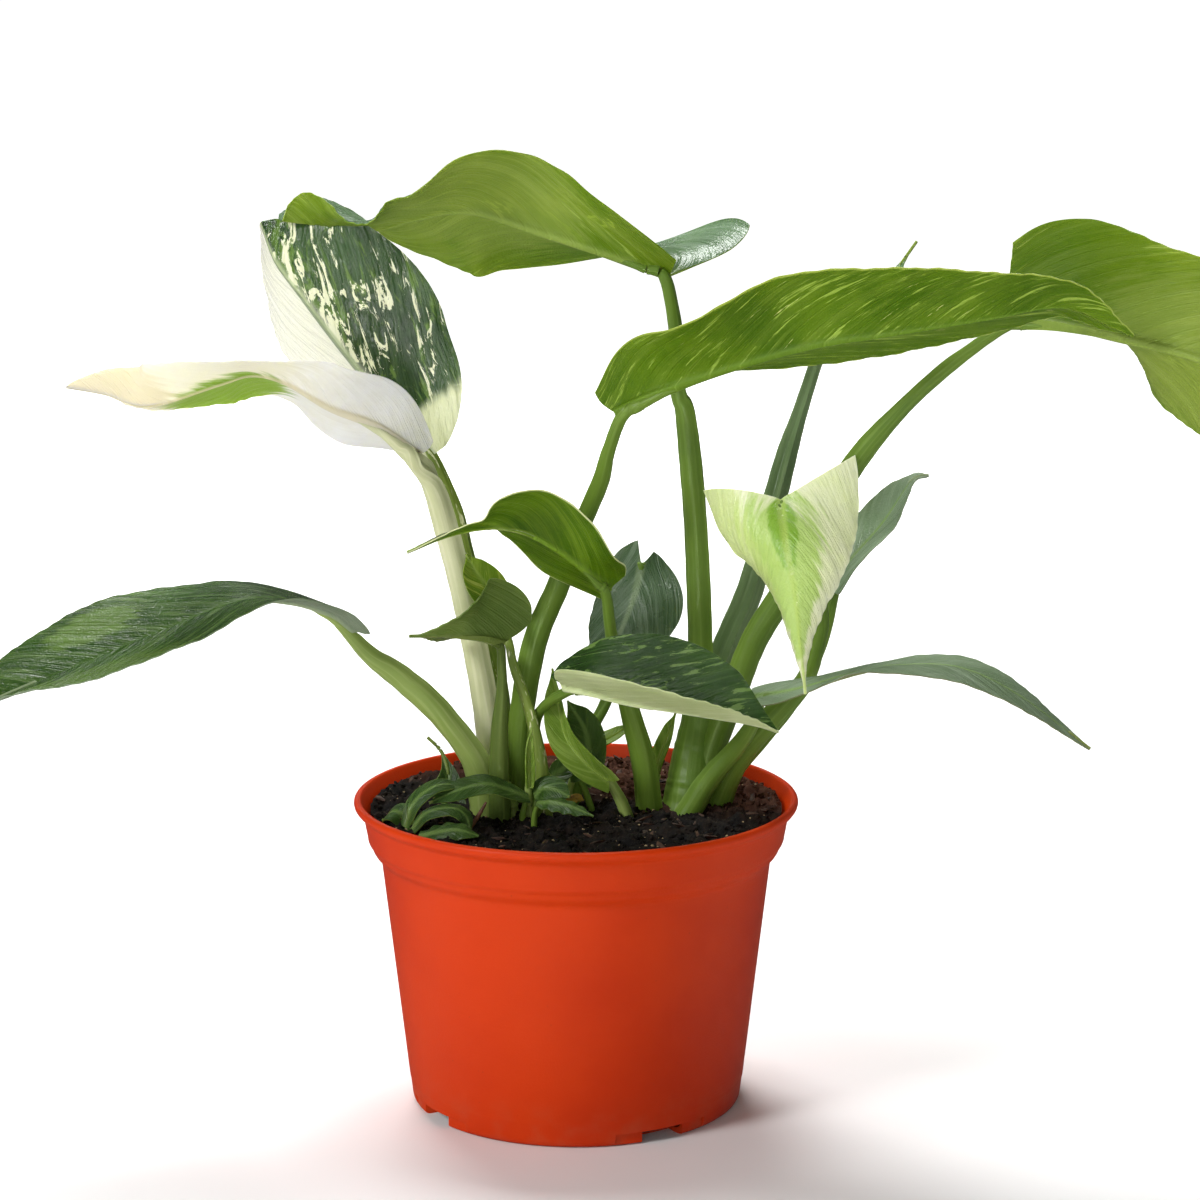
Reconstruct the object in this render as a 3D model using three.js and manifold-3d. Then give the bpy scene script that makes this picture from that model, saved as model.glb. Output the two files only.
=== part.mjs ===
// A potted philodendron: a round nursery pot full of soil, two short stems, and the stalks and
// blades of its leaves. Millimetres, +Z up. The origin is the centre of the pot's flat underside,
// the plant's front looks along -Y and +X is on the right.
import * as THREE from 'three';
import { mergeVertices } from 'three/addons/utils/BufferGeometryUtils.js';
import Module from 'manifold-3d';

const wasm = await Module();
wasm.setup();

// Driving dimensions of the pot: radii, and the heights they are measured at
const POT = {
  height: 107.3,
  foot: 57,
  bodyTop: 66.9,
  bodyTopAt: 85.8,
  collar: 71.5,
  collarAt: 93.5,
  flare: 73,
  flareAt: 102,
  rim: 76.2,
  rimAt: 105.4,
  wall: 1.6,
  floor: 1.8,
  corner: 2.6,
  sides: 48,
};

// The drainage notches: a shallow panel with an opening through the corner in its middle
const NOTCH = { angles: [31.6, 121.6, 211.6, 301.6], panel: 36, opening: 16.4, height: 4.5, depth: 0.8 };

// The soil is lowest round the stems and banked up towards the wall
const SOIL = { top: 101, bank: 2.6, roughness: 0.7, sides: 32 };

// Clearance between neighbouring pieces
const GAP = 0.3;

// The rows along a blade and the places across it, from its left margin (-1) to its right one (1)
const LARGE = { rows: 12, columns: [-1, -0.55, -0.08, 0, 0.08, 0.55, 1] };
const SMALL = { rows: 6, columns: [-1, -0.5, 0, 0.5, 1] };
const TINY = { rows: 5, columns: [-1, 0, 1], below: 6 };

// What all blades share: their thickness, the drip tip, how the width rises from the stalk, and the
// share of the length that the base lobes take
const BLADE = { thickness: 0.7, swell: 0.6, lobeEnd: 0.35, leastHalf: 0.4, rightPhase: 0, leftPhase: 1.9 };
const DRIP_TIP = { start: 0.78, end: 0.98, narrowing: 0.45 };

// What all stalks share: how flat they are, and the depth and width of the groove down one side
const STALK = { sides: 8, smallSides: 5, stemSides: 10, flatness: 0.86, groove: 0.32, grooveWidth: 0.5 };

// Colours, as seen in daylight
const FINISH = {
  pot: { color: 0xd5431c, roughness: 0.55 },
  soil: { color: 0x2b1c14, roughness: 0.95 },
  stem: { color: 0x8fa457, roughness: 0.6 },
  green: { color: 0x5c8226, roughness: 0.45 },
  dark: { color: 0x2f5230, roughness: 0.35 },
  marbled: { color: 0x44644a, roughness: 0.4 },
  cream: { color: 0xece7cf, roughness: 0.5 },
  lime: { color: 0xcfdf9a, roughness: 0.4 },
  stalkGreen: { color: 0x76953f, roughness: 0.45 },
  stalkCream: { color: 0xdcd8b8, roughness: 0.5 },
};

// The large leaves.
// rib: points of the midrib from the stalk to the tip. up: the way the upper face looks.
// width: half the blade's width, reached at the share `widest` of its length. base: its share of
// that at the stalk. taper: above 1, the blade narrows faster towards the tip. drip: how much it
// narrows once more just before the tip. shoulder: how much wider each half is made at the stalk.
// lobe and lobeLift: how far the left and right base lobes reach back and up. pointed and full:
// their form.
// left and right: the lift of each half towards the upper face, in degrees, at even steps along
// the rib. curl: its bend from rib to margin. wave: height and number of the margin's waves.
// stalk: points from the soil up, each with the stalk's radius there.
const LEAVES = {
  far_left: {
    finish: 'dark', stalkFinish: 'stalkGreen',
    rib: [[-75, -12, 168], [-82, -14, 174], [-95, -18, 179], [-112, -24, 180], [-137, -34, 172],
      [-162, -44, 163], [-188, -50, 153], [-207, -54, 143]],
    up: [0, -0.35, 1], width: 24, widest: 0.42, base: 0.15, lobe: [4, 3], pointed: true,
    left: [42, 34, 32, 22, 13, 14, 18, 20, 25, 25, 25],
    right: [-20, -25, -18, -8, 0, 6, 12, 22, 35, 45, 55], curl: [10, -20], wave: [1.5, 2.2],
    stalk: [[-31, -2, 100, 6], [-34, -3, 119, 5.5], [-45, -6, 136, 5], [-58, -8, 149, 4.5],
      [-69, -10, 158, 3.6], [-75, -11.5, 167, 2.6]],
  },
  white: {
    finish: 'cream', stalkFinish: 'stalkCream',
    rib: [[-53, 0, 225], [-67, -5, 236], [-82, -10, 243], [-96, -14, 252], [-107, -17, 255],
      [-118, -20, 252], [-141, -22, 245], [-155, -22, 249], [-168, -20, 251]],
    up: [0, 0.6, 0.8], width: 22, widest: 0.4, base: 0.25, lobe: [3, 4], taper: 0.75,
    left: [85, 40, 5, -20, 5, 42, 60], right: [35, -5, 25, 5, 15, 30, 40], curl: [-25, -20],
    wave: [1.2, 2],
    stalk: [[-28, 9, 100, 5.5], [-30, 9, 126, 5.2], [-34, 8, 153, 4.8], [-39, 6, 178, 4.7],
      [-44, 4, 199, 4.6], [-49, 2, 216, 4.2], [-52.5, 0, 225, 3.4]],
  },
  marbled: {
    finish: 'marbled', stalkFinish: 'stalkGreen',
    rib: [[-49, 20, 222], [-60, 21, 236], [-73, 22, 250], [-93, 24, 276], [-102, 25, 288],
      [-107, 26, 301]],
    up: [-0.05, -0.97, 0.15], width: 36.5, widest: 0.42, base: 0.12, lobe: [0, 0], taper: 0.65,
    drip: 0.1,
    left: [-60, -60, -60, -58, -60, -70, -80], right: [10, 5, 5, 5, 5], curl: [-10, -15],
    wave: [1.5, 1.6],
    stalk: [[-24, 20, 100, 4.2], [-26, 20, 130, 4], [-28, 20, 144, 3.9], [-33, 20, 165, 3.8],
      [-38, 20, 186, 3.6], [-42, 20, 205, 2.8], [-48.5, 20, 222, 2.3]],
  },
  top: {
    finish: 'green', stalkFinish: 'stalkGreen',
    rib: [[32, 22, 284], [8, 22, 292], [-12, 24, 298], [-36, 26, 305], [-55, 29, 302], [-70, 29, 298],
      [-87, 25, 300], [-99, 20, 302]],
    up: [0, 0.8, 0.6], width: 30, widest: 0.4, base: 0.32, lobe: [0, 22], lobeLift: [0, 20],
    full: true, taper: 0.5, drip: 0,
    left: [-30, -18, -7, 4, 3, -12, -36, -36, -40, -34, 15],
    right: [125, 62, 36, 27, 18, 5, 8, 25, 58, 70, 60], curl: [-20, -20], wave: [2, 1.7],
    stalk: [[36, 14, 100, 6], [38, 15, 116, 6], [43, 18, 136, 5.6], [43, 20, 157, 5.2],
      [42, 22, 185, 5], [40, 22, 213, 4.8], [37.5, 22, 236, 4.2], [35, 22, 244, 3.2], [34, 22, 265, 3],
      [32.5, 22, 284, 2.8]],
  },
  long: {
    finish: 'green', stalkFinish: 'stalkGreen',
    rib: [[14, -12, 241], [28, -18, 249], [49, -26, 258], [77, -36, 267], [102, -44, 272],
      [133, -52, 278], [155, -56, 282], [171, -58, 276], [178, -60, 273]],
    up: [0, 0.75, 0.65], width: 28, widest: 0.35, base: 0.3, lobe: [5, 6], taper: 0.7, drip: 0.2,
    left: [65, 42, 28, 26, 32, 40], right: [70, 0, 18, 8, -8, -14], curl: [-15, -25], wave: [1.4, 1.6],
    stalk: [[-20, 9, 100, 4.4], [-19, 9, 128, 4.4], [-14, 10, 158, 4.4], [-6, 10, 178, 4.2],
      [1, 6, 198, 3.9], [8, -2, 216, 3.6], [11, -8, 228, 2.8], [13.6, -11.6, 241, 2.6]],
  },
  far_right: {
    finish: 'green', stalkFinish: 'stalkGreen',
    rib: [[141, -20, 273], [158, -30, 273], [178, -42, 270], [200, -54, 265], [221, -64, 256],
      [240, -70, 241]],
    up: [-0.2, 0.8, 0.6], width: 36, widest: 0.35, base: 0.55, lobe: [2, 1], shoulder: [0.7, 0],
    left: [80, 62, 12, -5, -20, -25], right: [65, 45, 30, 28, 30, 30], curl: [-15, -20],
    wave: [1.6, 1.6],
    stalk: [[42, 11, 100, 5.5], [47, 12, 120, 5.2], [55, 14, 141, 5], [62, 14, 159, 4.8],
      [72, 12, 177, 4.8], [83, 6, 202, 4.6], [96, 0, 225, 4.2], [110, -7, 243, 3], [127, -14, 260, 2.7],
      [140.6, -19.6, 273, 2.5]],
  },
  back_right: {
    finish: 'dark', stalkFinish: 'stalkGreen',
    rib: [[85, 75, 250], [95, 92, 254], [107, 112, 262], [125, 128, 284]],
    up: [-0.4, -0.3, 1], width: 20, widest: 0.4, base: 0.4, lobe: [7, 7], taper: 2.5, drip: 0.75,
    left: [0, -10, -10, 0], right: [0, -5, -5, 0], curl: [-15, -15], wave: [1.4, 1.6],
    stalk: [[38, 20, 100, 5.5], [43, 26, 127, 5.2], [52, 34, 151, 4.8], [61, 44, 170, 4.8],
      [68, 54, 193, 4.4], [74, 62, 214, 4], [79, 68, 229, 2.8], [84.4, 74, 250, 2.5]],
  },
  lime: {
    finish: 'lime', stalkFinish: 'stalkGreen',
    rib: [[68, -22, 214], [69, -36, 203], [72, -44, 186], [74, -43, 169], [76, -40, 152]],
    up: [0, -0.95, 0.3], width: 28, widest: 0.12, base: 0.85, lobe: [16, 17], pointed: true,
    shoulder: [0.18, 0], taper: 1.8,
    left: [-8, -12, -12, -38, -48, -50], right: [-25, -58, -68, -66, -62, -50], curl: [-30, -30],
    wave: [0.8, 1.4],
    stalk: [[48, 8, 100, 5], [55, 4, 118, 4.6], [66, 0, 133, 4.2], [77, -5, 147, 3.4],
      [82, -9, 162, 2.4], [83, -11, 174, 2.2], [78, -14, 192, 2.2], [72, -17, 208, 2.2],
      [68.5, -21, 214, 2.2]],
  },
  grey: {
    finish: 'dark', stalkFinish: 'stalkGreen',
    rib: [[88, 12, 177], [94, 18, 185], [106, 26, 197], [116, 30, 211], [122, 31, 213]],
    up: [-0.6, -0.6, 0.5], width: 13, widest: 0.4, base: 0.5, lobe: [4, 4],
    left: [0, 0, -5, -20], right: [25, 28, 32, 35], curl: [0, 0], wave: [0.8, 1.4],
    stalk: [[46, 20, 100, 3], [64, 18, 122, 2.8], [77, 15, 140, 2.4], [85, 13, 159, 2],
      [88, 12, 177, 1.8]],
  },
  low_right: {
    finish: 'dark', stalkFinish: 'stalkGreen',
    rib: [[61, -13, 145], [75, -20, 149], [94, -30, 157], [107, -38, 161], [126, -46, 162],
      [145, -52, 154], [168, -56, 137]],
    up: [0, -0.25, 1], width: 14, widest: 0.45, base: 0.22, lobe: [3, 3],
    left: [5, -5, -10, -15, -10, 0], right: [-20, 5, 18, 8, 5, 5], curl: [-10, -10], wave: [1, 1.6],
    stalk: [[38, -3, 100, 4.6], [46, -4, 114, 4], [55, -7, 126, 3.4], [60, -10, 135, 2.8],
      [61, -12.6, 145, 2.2]],
  },
  front: {
    finish: 'marbled', stalkFinish: 'stalkGreen',
    rib: [[-3, -20, 146], [6, -28, 146], [18, -34, 145.5], [38, -40, 144], [58, -44, 142.5],
      [67, -45, 140]],
    up: [0, -0.45, 0.9], width: 25, widest: 0.42, base: 0.15, lobe: [3, 1],
    left: [50, 56, 54, 50, 46], right: [50, 55, 56, 55, 52], curl: [-15, -10], wave: [0.8, 1.2],
    stalk: [[-15, 2, 100, 3], [-15, 2, 120, 2.6], [-14, 1, 133, 2.4], [-10, -7, 141, 2.2],
      [-3.4, -19.5, 146, 2]],
  },
  curled: {
    finish: 'green', stalkFinish: 'stalkGreen',
    rib: [[11, -6, 180], [-1, -14, 192], [-14, -20, 201], [-23, -23, 204], [-32, -23, 204],
      [-43, -21, 201], [-56, -18, 195]],
    up: [0, 0.7, 0.7], width: 18.5, widest: 0.35, base: 0.3, lobe: [0, 4],
    left: [20, -12, 8, 20, -15, -30, -30], right: [20, 12, 26, 36, 40, 60], curl: [-40, -30],
    wave: [0.6, 1.4],
    stalk: [[25, 8, 100, 5], [23, 4, 117, 4.4], [18, 2, 137, 3.6], [14, 0, 155, 2.8],
      [12, -2, 165, 2.6], [11, -5, 180, 2.4]],
  },
  hood: {
    finish: 'dark', stalkFinish: 'stalkGreen',
    rib: [[-25, -12, 163], [-32, -18, 166], [-42, -24, 168], [-55, -30, 169]],
    up: [0, 0.5, 0.8], width: 21, widest: 0.25, base: 0.55, lobe: [8, 3],
    left: [55, 65, 30, 10, 12], right: [20, 12, 12, 15], curl: [-30, -20], wave: [0.5, 1],
    stalk: [[-26, -7, 100, 4.6], [-26, -9, 129, 3.4], [-25, -10, 146, 2.2], [-25, -11, 157, 1.8],
      [-25, -12, 163, 1.8]],
  },
  round: {
    finish: 'dark', stalkFinish: 'stalkGreen',
    rib: [[23, 48, 179], [20, 40, 168], [14, 34, 153], [8, 32, 137]],
    up: [0, -0.9, 0.4], width: 18, widest: 0.35, base: 0.3, lobe: [8, 9], pointed: true,
    left: [-30, 5, 20, 20], right: [-25, -42, -35, -20], curl: [-20, -20], wave: [0.5, 1.2],
    stalk: [[-1, 14, 100, 2.6], [1, 16, 114, 2.6], [4, 20, 123, 2.4], [10, 28, 133, 2.2],
      [17, 42, 149, 2], [23, 52, 166, 1.8], [23.4, 49.5, 179, 1.8]],
  },
};

// The young and small leaves, each one piece with its short stalk. The same values as above.
const SMALL_LEAVES = {
  young_folded: {
    finish: 'lime',
    rib: [[11, -7, 114], [4, -8, 120], [-3, -7, 129], [-6, -1, 141], [-8, 3, 151]],
    up: [-0.5, -0.6, 0.2], width: 7, widest: 0.4, base: 0.4, lobe: [2, 2],
    left: [60, 60, 55, 50], right: [20, 30, 40, 40], curl: [0, 0],
    stalk: [[18, -3, 98, 3], [16, -4, 105, 2.4], [11, -7, 114.4, 1.8]],
  },
  young_dark: {
    finish: 'dark',
    rib: [[2, 6, 111], [4, 8, 118], [3, 8, 128], [-3, 6, 139]],
    up: [0.2, -1, 0.2], width: 6.5, widest: 0.4, base: 0.4, lobe: [2, 2],
    left: [0, 0, 0, 0], right: [0, 0, 0, 0], curl: [10, 10],
    stalk: [[6, 6, 98, 1.6], [3, 6, 107, 1.5], [2, 6, 111.4, 1.4]],
  },
  behind_hood: {
    finish: 'marbled',
    rib: [[-27, 0, 174], [-30, -1, 180], [-34, -2, 186], [-37, -3, 192]],
    up: [0.6, -0.8, 0], width: 7, widest: 0.35, base: 0.5, lobe: [2, 2],
    left: [0, 0, 0, 0], right: [40, 40, 40, 40], curl: [20, 20],
    stalk: [[-10, -6, 98, 3.2], [-12, -6, 120, 3], [-14, -6, 131, 2.4], [-17, -5, 142, 2],
      [-21, -4, 153, 1.8], [-23, -3, 162, 1.6], [-27, 0, 174.4, 1.5]],
  },
  sprig_left: {
    finish: 'dark',
    rib: [[-16, -16, 110], [-23, -20, 114], [-30, -24, 117], [-39, -28, 116], [-49, -30, 112]],
    up: [0.1, -0.55, 0.8], width: 5.5, widest: 0.45, base: 0.3, lobe: [0, 0],
    left: [10, 10, 10, 0], right: [-10, -10, -10, 0], curl: [-10, -10],
    stalk: [[-18, -15, 97, 1.5], [-18, -15.5, 104, 1.3], [-16, -16, 110.4, 1.1]],
  },
  sprig_oval: {
    finish: 'dark',
    rib: [[-14, -12, 110], [-11, -14, 113], [-7, -16, 113], [-2, -18, 111]],
    up: [0.1, -0.6, 0.8], width: 5, widest: 0.45, base: 0.3, lobe: [0, 0],
    left: [10, 10, 10, 10], right: [-10, -10, -10, -10], curl: [-10, -10],
    stalk: [[-13, -11, 97, 1.4], [-14, -12, 104, 1.3], [-14, -12, 110.4, 1.1]],
  },
  sprig_front: {
    finish: 'green',
    rib: [[-13, -21, 110], [-8, -24, 111], [-2, -26, 110], [6, -28, 107]],
    up: [0, -0.3, 1], width: 3.8, widest: 0.4, base: 0.3, lobe: [0, 0],
    left: [-10, -10, -10, -10], right: [-25, -25, -20, -10], curl: [0, 0], wave: [0.8, 5],
    stalk: [[-14, -20, 97, 1.3], [-14, -20, 105, 1.2], [-13, -21, 110.3, 1]],
  },
  centre_bud: {
    finish: 'green',
    rib: [[-16, -12.5, 113], [-16, -12.5, 120], [-16, -12.5, 127], [-15, -12, 134]],
    up: [0.3, -0.9, 0], width: 2.6, widest: 0.35, base: 0.5, lobe: [0, 0],
    left: [45, 45, 45, 45], right: [45, 45, 45, 45], curl: [0, 0],
    stalk: [[-16, -11, 97, 1.5], [-16, -12, 106, 1.4], [-16, -12.5, 113.4, 1.2]],
  },
  stub: {
    finish: 'dark',
    rib: [[-8, 2, 113], [-5, 4, 115], [-1, 6, 118]],
    up: [0.2, -0.8, 0.5], width: 4, widest: 0.45, base: 0.4, lobe: [0, 0],
    left: [0, 0, 0], right: [0, 0, 0], curl: [15, 15],
    stalk: [[-9, 1, 97, 2], [-9, 1, 103, 1.9], [-9, 1, 109, 1.8], [-8, 2, 113.3, 1.5]],
  },
  dark_round: {
    finish: 'dark',
    rib: [[-8, 21, 104], [-6, 21, 107], [0, 22, 110]],
    up: [0.2, -0.7, 0.6], width: 4.5, widest: 0.45, base: 0.4, lobe: [0, 0],
    left: [0, 0, 0], right: [0, 0, 0], curl: [10, 10],
    stalk: [[-9, 21, 97, 1.3], [-9, 21, 101, 1.2], [-8, 21, 104.3, 1.1]],
  },
  right_bud: {
    finish: 'green',
    rib: [[28, 35, 104], [29, 36, 110], [32, 38, 118], [35, 39, 127]],
    up: [-0.6, -0.8, 0], width: 3.6, widest: 0.4, base: 0.4, lobe: [0, 0],
    left: [30, 30, 30, 40], right: [30, 30, 30, 40], curl: [0, 0],
    stalk: [[27, 34, 96, 1.6], [27, 34, 99, 1.5], [28, 35, 104.4, 1.2]],
  },
  sprout: {
    finish: 'dark',
    rib: [[-45, -3, 108], [-44, -1, 114], [-45, 1, 119], [-47, 2, 123], [-51, 2, 127]],
    up: [0.3, -0.9, 0.2], width: 6, widest: 0.15, base: 0.8, lobe: [2, 2], taper: 3,
    left: [30, 20, 10, 10], right: [30, 20, 10, 10], curl: [0, 0],
    stalk: [[-45, -5, 96, 1.6], [-45, -4, 102, 1.5], [-45, -3, 108.4, 1.3]],
  },
  rim_left: {
    finish: 'green',
    rib: [[-57, -26, 104], [-59, -25, 107], [-62, -23, 107], [-65, -20, 103]],
    up: [0.2, -0.5, 1], width: 5.5, widest: 0.45, base: 0.4, lobe: [0, 0],
    left: [0, 0, 0, 0], right: [0, 0, 0, 0], curl: [-20, -20],
    stalk: [[-56, -26, 96, 1.4], [-56, -26, 100, 1.3], [-57, -26, 104.4, 1.1]],
  },
  rim_arch: {
    finish: 'dark',
    rib: [[-57, -31, 104], [-54, -30, 112], [-47, -27, 117], [-38, -24, 117]],
    up: [-0.5, -0.4, 0.8], width: 4.5, widest: 0.5, base: 0.4, lobe: [0, 0],
    left: [0, 0, 0, 0], right: [0, 0, 0, 0], curl: [-10, -10],
    stalk: [[-56, -31, 96, 1.4], [-57, -31, 100, 1.3], [-57, -31, 104.4, 1.1]],
  },
  rim_low: {
    finish: 'green',
    rib: [[-55, -36, 104], [-50, -36, 110], [-42, -36, 112], [-37, -37, 110], [-35, -38, 105]],
    up: [0, -0.2, 1], width: 4.5, widest: 0.5, base: 0.4, lobe: [0, 0],
    left: [-10, -10, -10, -10], right: [-10, -10, -10, -10], curl: [-10, -10],
    stalk: [[-54, -36, 96, 1.4], [-55, -36, 100, 1.3], [-55, -36, 104.4, 1.1]],
  },
  rim_front: {
    finish: 'green',
    rib: [[-52, -43, 104], [-46, -45, 106], [-39, -46, 107], [-32, -46, 105]],
    up: [0, -0.3, 1], width: 4.5, widest: 0.45, base: 0.4, lobe: [0, 0],
    left: [0, 0, 0, 0], right: [-15, -15, -15, -15], curl: [-10, -10], wave: [0.8, 4],
    stalk: [[-52, -42, 96, 1.4], [-52, -42, 100, 1.3], [-52, -43, 104.4, 1.1]],
  },
  crossing: {
    finish: 'green',
    rib: [[2, 12, 117], [7, 15, 121], [13, 20, 123], [19, 26, 126]],
    up: [0, -0.5, 0.9], width: 3.5, widest: 0.4, base: 0.4, lobe: [0, 0],
    left: [20, 20, 20, 20], right: [20, 20, 20, 20], curl: [0, 0],
    stalk: [[-3, 9, 97, 1.4], [-2, 10, 108, 1.3], [2, 12, 117.3, 1.1]],
  },
};

// The two short stems, standing in the soil: points from below up, with radii
const STEMS = {
  stem_left: [[-24, 3, 74, 6], [-26, 1, 90, 8], [-28, 0, 103, 8], [-27, 0, 112, 5]],
  stem_right: [[36, 8, 74, 7], [38, 9, 90, 10], [40, 10, 102, 10], [42, 11, 112, 6.5]],
};

function vector(values) {
  return new THREE.Vector3(values[0], values[1], values[2]);
}

function smoothstep(low, high, x) {
  const t = THREE.MathUtils.clamp((x - low) / (high - low), 0, 1);
  return t * t * (3 - 2 * t);
}

// A smooth value between evenly spaced ones
function smoothAt(values, u) {
  const last = values.length - 1;
  const place = THREE.MathUtils.clamp(u, 0, 1) * last;
  const i = Math.min(Math.floor(place), last - 1);
  const before = values[i - 1] ?? 2 * values[0] - values[1];
  const after = values[i + 2] ?? 2 * values[last] - values[last - 1];
  const slope = [(values[i + 1] - before) / 2, (after - values[i]) / 2];
  return hermite(values[i], values[i + 1], slope, place - i);
}

function hermite(from, to, slope, t) {
  const t2 = t * t;
  const t3 = t2 * t;
  return (2 * t3 - 3 * t2 + 1) * from + (t3 - 2 * t2 + t) * slope[0]
    + (3 * t2 - 2 * t3) * to + (t3 - t2) * slope[1];
}

// Solids and meshes
function solid(geometry) {
  const bare = new THREE.BufferGeometry();
  bare.setAttribute('position', geometry.getAttribute('position').clone());
  bare.setIndex(geometry.index);
  const merged = mergeVertices(bare, 1e-4);
  const index = merged.index.array;
  const kept = [];
  for (let i = 0; i < index.length; i += 3) {
    const [a, b, c] = [index[i], index[i + 1], index[i + 2]];
    if (a !== b && b !== c && a !== c) kept.push(a, b, c);
  }
  return new wasm.Manifold(new wasm.Mesh({
    numProp: 3,
    vertProperties: new Float32Array(merged.attributes.position.array),
    triVerts: Uint32Array.from(kept),
  }));
}

function geometryOf(body) {
  const mesh = body.getMesh();
  const geometry = new THREE.BufferGeometry();
  geometry.setAttribute('position', new THREE.BufferAttribute(mesh.vertProperties, 3));
  geometry.setIndex(new THREE.BufferAttribute(mesh.triVerts, 1));
  geometry.computeVertexNormals();
  return geometry;
}

function largest(body) {
  return body.decompose().reduce((best, piece) => (piece.volume() > best.volume() ? piece : best));
}

const plant = new THREE.Group();

function addMesh(name, body, finish) {
  const material = new THREE.MeshStandardMaterial({ ...FINISH[finish], metalness: 0 });
  const mesh = new THREE.Mesh(geometryOf(largest(body)), material);
  mesh.name = name;
  plant.add(mesh);
}

// The surface of a blade, halfway through its thickness, at u from stalk to tip and v from the
// left margin (-1) over the midrib (0) to the right margin (1)
class Blade {
  constructor(leaf) {
    this.leaf = leaf;
    this.curve = new THREE.CatmullRomCurve3(leaf.rib.map(vector), false, 'catmullrom', 0.5);
    this.up = vector(leaf.up);
    const share = leaf.base ** (1 / BLADE.swell);
    this.offset = (leaf.widest * share) / (1 - share);
    this.fall = ((leaf.taper ?? 1) * BLADE.swell * (1 - leaf.widest)) / (leaf.widest + this.offset);
  }

  halfWidth(u, half) {
    const { width, widest, shoulder = [0, 0], drip = DRIP_TIP.narrowing } = this.leaf;
    const swell = ((u + this.offset) / (widest + this.offset)) ** BLADE.swell;
    const taper = (Math.max(1 - u, 0) / (1 - widest)) ** this.fall;
    const tip = 1 - drip * smoothstep(DRIP_TIP.start, DRIP_TIP.end, u);
    const broad = 1 + shoulder[half] * nearBase(u) ** 2;
    return Math.max(width * swell * taper * tip * broad, BLADE.leastHalf);
  }

  frame(u) {
    const forward = this.curve.getTangentAt(u);
    const face = this.up.clone().addScaledVector(forward, -this.up.dot(forward)).normalize();
    const side = forward.clone().cross(face);
    return { at: this.curve.getPointAt(u), forward, face, side };
  }

  // How a base lobe grows from the rib, `a` of the way to the margin
  lobe(u, a, half) {
    const { lobe, lobeLift = [0, 0], pointed, full } = this.leaf;
    const fade = full ? 1 - smoothstep(0, BLADE.lobeEnd, u) : nearBase(u) ** 2;
    const form = pointed ? a ** 1.3 : Math.sin((a * Math.PI) / 2);
    return { back: lobe[half] * form * fade, rise: lobeLift[half] * a * fade };
  }

  ripple(u, a, half) {
    const [height, count] = this.leaf.wave ?? [0, 0];
    const phase = half === 1 ? BLADE.rightPhase : BLADE.leftPhase;
    const room = Math.min(this.halfWidth(u, half) / 8, 1);
    return height * a * a * Math.sin(2 * Math.PI * count * u + phase) * room;
  }

  point(u, v, grow = 0) {
    const half = v > 0 ? 1 : 0;
    const a = Math.abs(v);
    const { at, forward, face, side } = this.frame(u);
    const { left, right, curl } = this.leaf;
    const lift = THREE.MathUtils.degToRad(smoothAt([left, right][half], u));
    const bend = THREE.MathUtils.degToRad(curl[half]);
    const [out, rise] = arc(lift - bend / 2, bend, a);
    const width = this.halfWidth(u, half) + grow * a;
    const lobe = this.lobe(u, a, half);
    return at
      .addScaledVector(side, Math.sign(v) * width * out)
      .addScaledVector(face, width * rise + this.ripple(u, a, half) + lobe.rise)
      .addScaledVector(forward, -lobe.back);
  }

  // The directions across and along the surface, and the one it faces
  directions(u, v) {
    const step = 1e-3;
    const u0 = THREE.MathUtils.clamp(u - step, 0, 1 - 2 * step);
    const v0 = THREE.MathUtils.clamp(v - step, -1, 1 - 2 * step);
    const across = this.point(u, v0 + 2 * step).sub(this.point(u, v0));
    const forward = this.point(u0 + 2 * step, v).sub(this.point(u0, v)).normalize();
    return { forward, normal: across.cross(forward).normalize() };
  }

  // A closed slab round the surface, with both faces split into triangles alike
  slab(grid, grow = 0) {
    const { rows, columns } = grid;
    const positions = [];
    for (const face of [1, -1]) {
      for (let i = 0; i <= rows; i += 1) {
        const u = closerAtEnds(i / rows);
        const beyond = (i === rows ? grow : 0) - (i === 0 ? grow : 0);
        for (const v of columns) {
          const { forward, normal } = this.directions(u, v);
          const ridge = face < 0 && v === 0 ? this.ridge(u) : 0;
          const p = this.point(u, v, grow)
            .addScaledVector(normal, face * (BLADE.thickness / 2 + grow + ridge))
            .addScaledVector(forward, beyond);
          positions.push(p.x, p.y, p.z);
        }
      }
    }
    return solid(closedSheet(positions, rows, columns.length - 1));
  }

  // How far the midrib stands out of the underside
  ridge(u) {
    return (this.leaf.width / 20) * (1 - u) ** 1.5;
  }
}

// 1 at the stalk, falling to 0 where the base lobes end
function nearBase(u) {
  return Math.max(1 - u / BLADE.lobeEnd, 0);
}

// Even steps drawn towards both ends, where a blade's outline turns most
function closerAtEnds(t) {
  return t - 0.09 * Math.sin(2 * Math.PI * t);
}

// Where an arc of unit length gets to, starting at an angle and bending by `bend` in all
function arc(start, bend, a) {
  if (Math.abs(bend) < 1e-4) return [a * Math.cos(start), a * Math.sin(start)];
  const end = start + bend * a;
  return [(Math.sin(end) - Math.sin(start)) / bend, (Math.cos(start) - Math.cos(end)) / bend];
}

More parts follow.
